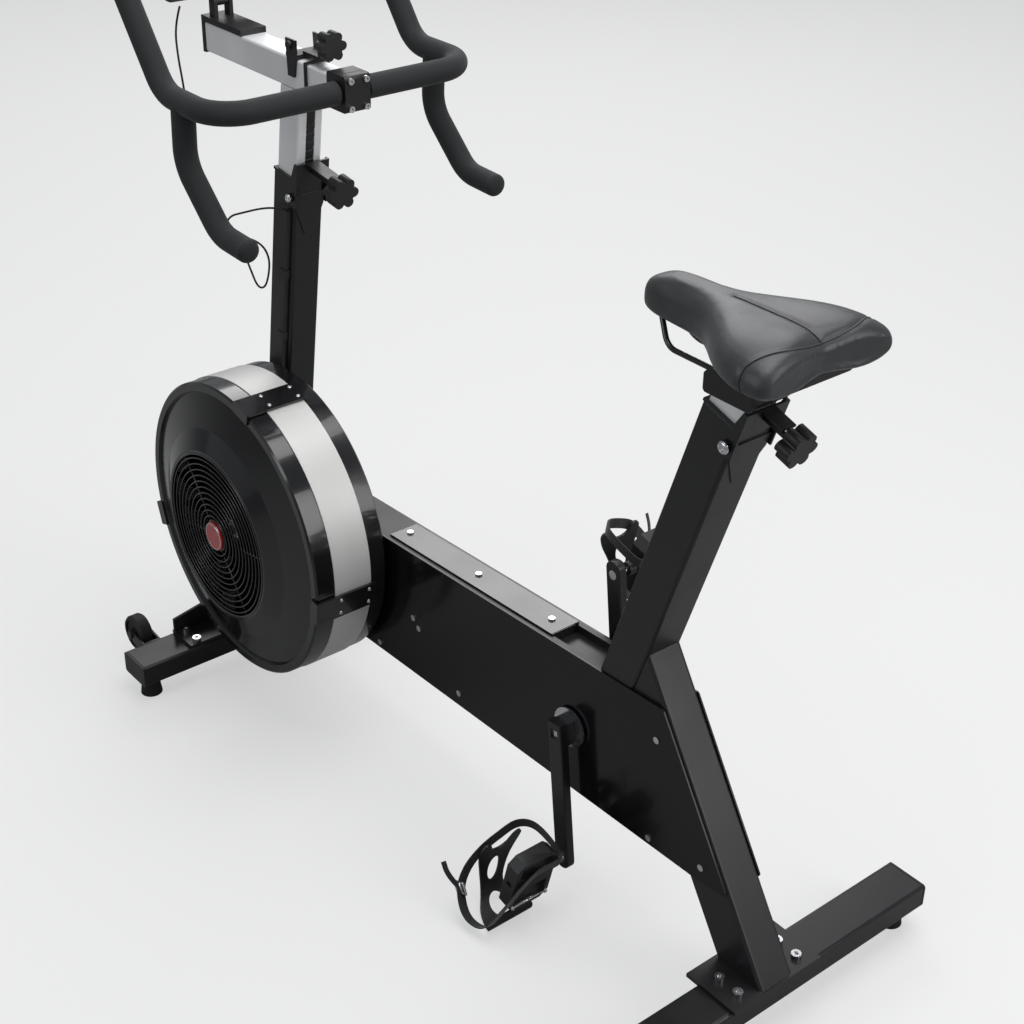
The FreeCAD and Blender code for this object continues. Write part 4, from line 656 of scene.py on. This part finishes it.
def make_pedal_rod(word, side, place):
    """The bright rod along the sole side of the toe end, with a nut on its inboard end."""
    shape = bmesh.new()
    nut = [(0, -0.002), (0.004, -0.002), (0.004, 0.001), (0.0025, 0.0025), (0, 0.0025)]
    ends = (-ROD_HALF, ROD_HALF)
    sweep(shape, [place @ mm(ROD_X, y, ROD_Z) for y in ends], circle(0.0022, 12))
    for end in ends:
        outward = place.to_3x3() @ Vector((0, math.copysign(1, end), 0))
        lathe(shape, nut, 16, facing(place @ mm(ROD_X, end, ROD_Z), outward))
    rod = from_bmesh("pedal_rod_" + word, shape, FINISHES["steel"])
    finish_piece(rod, "pedal_" + word, "steel")


def make_pedals():
    for side, word in ((-1, "left"), (1, "right")):
        centre = joint_spot("pedal_%s_spin" % word)
        place = Matrix.Translation(centre) @ Matrix.Rotation(math.radians(PEDAL_LEAN), 4, "Y")
        make_toe_cage(word, side, place)
        make_foot_strap(word, side, place)
        make_pedal_rod(word, side, place)


# ---------------------------------------------------------------- Handlebar and column

HANDLEBAR_HALF = 213
GRIP_ENDS = ((56, -168, 66, -2), (-260, 160, -122, 160))


def make_grip_ends():
    """Rounded ends on the four foam grips."""
    shape = bmesh.new()
    profile = [(0.0170, 0), (0.0168, 0.0022), (0.0158, 0.0046), (0.0138, 0.0066), (0.0104, 0.0082),
               (0.0060, 0.0092), (0.0020, 0.0095)]
    centre = joint_spot("handlebar_tilt")
    for side in (-1, 1):
        for x, z, dx, dz in GRIP_ENDS:
            end = facing(centre + mm(x, side * HANDLEBAR_HALF, z), (dx, 0, dz))
            lathe(shape, profile, 32, end, closed=False)
    ends = from_bmesh("grip_ends", shape, FINISHES["foam"])
    finish_piece(ends, "handlebar", "foam")


def make_tube_mouth():
    """The black liner around the slider, where it leaves the top tube."""
    middle = JOINTS["handlebar_tilt"]["pos_m"][2]
    rear = BRACKET_X - 0.630
    shape = bmesh.new()
    rings = []
    for x, high, wide in ((rear + 0.0003, 23.4, 21.4), (rear + 0.004, 23.4, 21.4),
                          (rear + 0.004, 19.5, 17.5), (rear + 0.0003, 19.5, 17.5)):
        rings.append([shape.verts.new((x, y * wide / 1000, middle + z * high / 1000))
                      for y, z in ((-1, -1), (1, -1), (1, 1), (-1, 1))])
    skin_rings(shape, rings, closed=True)
    mouth = from_bmesh("tube_mouth", shape, FINISHES["plastic_black"], smooth=False)
    rounding(mouth, 0.8)
    finish_piece(mouth, "mast", "plastic_black")


def make_latch_bolts():
    """Bright pivot bolts on both sides of the two tube latches."""
    for latch, radius in (("mast_latch", 6.5), ("seat_latch", 8.5)):
        low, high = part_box(latch)
        pivot = joint_spot(latch + "_hinge")
        shape = bmesh.new()
        for y, way in ((low.y, -1), (high.y, 1)):
            domed_head(shape, Vector((pivot.x, y, pivot.z)), (0, way, 0), radius / 1000, 0.0045)
        bolts = from_bmesh(latch + "_bolts", shape, FINISHES["steel"])
        rounding(bolts, 0.5)
        finish_piece(bolts, latch, "steel")


SCREEN_BORDER = 13
CONSOLE_LEAN = -28


def make_console_face():
    """A glass screen in the console's recess, over a row of round keys."""
    pivot = joint_spot("console_tilt")
    place = Matrix.Translation(pivot) @ Matrix.Rotation(math.radians(CONSOLE_LEAN), 4, "Y")
    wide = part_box("console")[1].y * 1000 - SCREEN_BORDER
    shape = bmesh.new()
    corners = [(14.3, y * wide, z) for y, z in ((-1, 38), (1, 38), (1, 97), (-1, 97))]
    back = [(13.2, y, z) for x, y, z in corners]
    rings = [[shape.verts.new(mm(*p)) for p in row] for row in (back, corners)]
    skin_rings(shape, rings)
    glass = from_bmesh("console_screen", shape, SCREEN, smooth=False, matrix=place)
    rounding(glass, 0.6)
    finish_piece(glass, "console", "case_black")
    shape = bmesh.new()
    for y in (-22, 0, 22):
        key = [(0, 0), (0.0048, 0), (0.0048, 0.0012), (0.004, 0.002), (0, 0.0022)]
        lathe(shape, key, 24, place @ facing(mm(15.05, y, 22), (1, 0, 0)))
    keys = from_bmesh("console_keys", shape, FINISHES["rubber"])
    finish_piece(keys, "console", "rubber")


# ---------------------------------------------------------------- Saddle

SADDLE_NOSE = 73
SIDE_SQUARENESS = 0.62
TOP_SQUARENESS = 0.70
COVER_POINTS = 56
VOXEL = 0.004
PUFF_LIMIT = 0.003
SEAM_DEPTH = 0.0016
SEAM_REACH = 0.0042
PIPING_RADIUS = 0.0011
SADDLE_ROWS = [
    # distance from the nose, half width, top and underside above the floor
    (1, 11, 969, 950), (6, 18, 977, 942), (14, 23, 982, 938), (30, 27, 987, 936), (60, 29, 989, 935),
    (95, 33, 990, 935), (124, 43, 991, 935), (148, 58, 992, 935), (172, 76, 993, 935),
    (196, 92, 994, 936), (220, 103, 995, 936), (243, 109, 995, 936), (264, 109, 994, 937),
    (276, 106, 991, 940), (283, 99, 984, 946)]
SEAM_LINES = [
    [(205, 0, 1000), (250, 0, 1000), (300, 0, 997), (344, 0, 992)],
    [(344, 0, 992), (346, -24, 994), (340, -54, 994), (330, -78, 990), (322, -97, 980),
     (320, -106, 966), (322, -104, 950)],
    [(344, 0, 992), (346, 24, 994), (340, 54, 994), (330, 78, 990), (322, 97, 980),
     (320, 106, 966), (322, 104, 950)]]


def saddle_point(row, angle):
    """A point of the saddle's cover: a flattened oval section, dished and notched at the back."""
    distance, half, top, under = row
    middle = (top + under) / 2
    cosine, sine = math.cos(angle), math.sin(angle)
    y = half * math.copysign(abs(cosine) ** SIDE_SQUARENESS, cosine)
    rise = math.copysign(abs(sine) ** TOP_SQUARENESS, sine)
    z = middle + rise * (top - under) / 2
    back = min(1, max(0, (distance - 150) / 120))
    inner = math.exp(-(y / 24) ** 2)
    if sine > 0:
        z -= 4.0 * back * inner
        z -= 3.0 * back * (abs(y) / 110) ** 3
    else:
        z += 7.0 * back * math.exp(-(y / 50) ** 2)
    notch = 11 * back ** 3 * math.exp(-(y / 40) ** 2)
    return spot(SADDLE_NOSE + distance - notch, y, z)


def saddle_skin():
    dense = smooth_path([Vector(row) for row in SADDLE_ROWS], per=4)
    shape = bmesh.new()
    rings = []
    for row in dense:
        rings.append([shape.verts.new(saddle_point(tuple(row), 2 * math.pi * k / COVER_POINTS))
                      for k in range(COVER_POINTS)])
    skin_rings(shape, rings)
    return from_bmesh("saddle_cover", shape, FINISHES["vinyl"])


def remesh(piece, size):
    modifier = piece.modifiers.new("Remesh", "REMESH")
    modifier.mode = "VOXEL"
    modifier.voxel_size = size
    bake(piece)


def bake(piece):
    """Applies a piece's modifiers to its mesh."""
    graph = bpy.context.evaluated_depsgraph_get()
    made = bpy.data.meshes.new_from_object(piece.evaluated_get(graph), depsgraph=graph)
    piece.modifiers.clear()
    piece.data = made
    made.polygons.foreach_set("use_smooth", [True] * len(made.polygons))


def puff(piece, cap, steps=20):
    """Swells the padding by cloth pressure; the cover stays put where its shell holds it."""
    scene = bpy.context.scene
    start = [v.co.copy() for v in piece.data.vertices]
    hold = [min(1, max(0, (v.normal.z + 0.35) / 0.7)) for v in piece.data.vertices]
    cloth = piece.modifiers.new("Cloth", "CLOTH")
    cloth.settings.quality = 5
    cloth.settings.use_pressure = True
    cloth.settings.uniform_pressure_force = 4
    cloth.settings.effector_weights.gravity = 0
    cloth.point_cache.frame_start = 1
    cloth.point_cache.frame_end = steps
    for step in range(1, steps + 1):
        scene.frame_set(step)
    graph = bpy.context.evaluated_depsgraph_get()
    swollen = piece.evaluated_get(graph).to_mesh()
    ends = [v.co.copy() for v in swollen.vertices]
    piece.modifiers.clear()
    scene.frame_set(1)
    for vert, one, other, share in zip(piece.data.vertices, start, ends, hold):
        shift = other - one
        if shift.length > cap:
            shift = shift * (cap / shift.length)
        vert.co = one + shift * share


def press_seams(piece, lines, depth, reach):
    """Draws the cover down along its seams."""
    points = [p for line in lines for p in line]
    for vert in piece.data.vertices:
        near = min((vert.co - p).length_squared for p in points) ** 0.5
        if near < reach * 2.5:
            vert.co -= vert.normal * depth * math.exp(-(near / reach) ** 2)


def make_saddle():
    cover = saddle_skin()
    remesh(cover, VOXEL)
    puff(cover, PUFF_LIMIT)
    divide = cover.modifiers.new("Subdivision", "SUBSURF")
    divide.levels = 1
    bake(cover)
    lines = []
    tree = BVHTree.FromPolygons([v.co for v in cover.data.vertices],
                                [p.vertices for p in cover.data.polygons])
    for seam in SEAM_LINES:
        dense = smooth_path([spot(*p) for p in seam], per=14)
        lines.append([tree.find_nearest(p)[0] for p in dense])
    press_seams(cover, lines, SEAM_DEPTH, SEAM_REACH)
    tree = BVHTree.FromPolygons([v.co for v in cover.data.vertices],
                                [p.vertices for p in cover.data.polygons])
    shape = bmesh.new()
    for line in lines:
        snapped = []
        for point in line:
            at, normal, _, _ = tree.find_nearest(point)
            snapped.append(at + normal * 0.0004)
        for _ in range(3):
            middle = [(a + b * 2 + c) / 4 for a, b, c in zip(snapped, snapped[1:], snapped[2:])]
            snapped = [snapped[0], *middle, snapped[-1]]
        sweep(shape, snapped, circle(PIPING_RADIUS, 8))
    piping = from_bmesh("saddle_piping", shape, FINISHES["vinyl"])
    finish_piece(piping, "saddle", "vinyl")
    finish_piece(cover, "saddle", "vinyl", "saddle")


def make_saddle_base():
    """The moulded shell under the cover."""
    shape = bmesh.new()
    rings = []
    for level, share in ((935.5, 0.50), (939, 0.56), (950, 0.56)):
        outline = []
        for row in SADDLE_ROWS[4:-2]:
            outline.append(spot(SADDLE_NOSE + row[0], row[1] * share, level))
        for row in SADDLE_ROWS[-3:3:-1]:
            outline.append(spot(SADDLE_NOSE + row[0], -row[1] * share, level))
        rings.append([shape.verts.new(p) for p in outline])
    skin_rings(shape, rings)
    base = from_bmesh("saddle_base", shape, FINISHES["plastic_black"], smooth=False)
    finish_piece(base, "saddle", "plastic_black")


# ---------------------------------------------------------------- Run

make_camera()
make_lead()
make_studio()
dress_frame()
make_grille()
make_fan_trim()
make_pedals()
make_grip_ends()
make_tube_mouth()
make_latch_bolts()
make_console_face()
make_saddle()
make_saddle_base()
soften(1.2, "seat_tube", "rear_leg", "mast_tube", "rear_stabiliser", "front_stabiliser", "top_tube",
       "bar_slider", "mast_post", "seat_post", "crank_left", "crank_right", "pedal_left", "pedal_right",
       "bar_clamp", "saddle_clamp", "top_cover", "mast_knob", "seat_knob", "bar_knob")
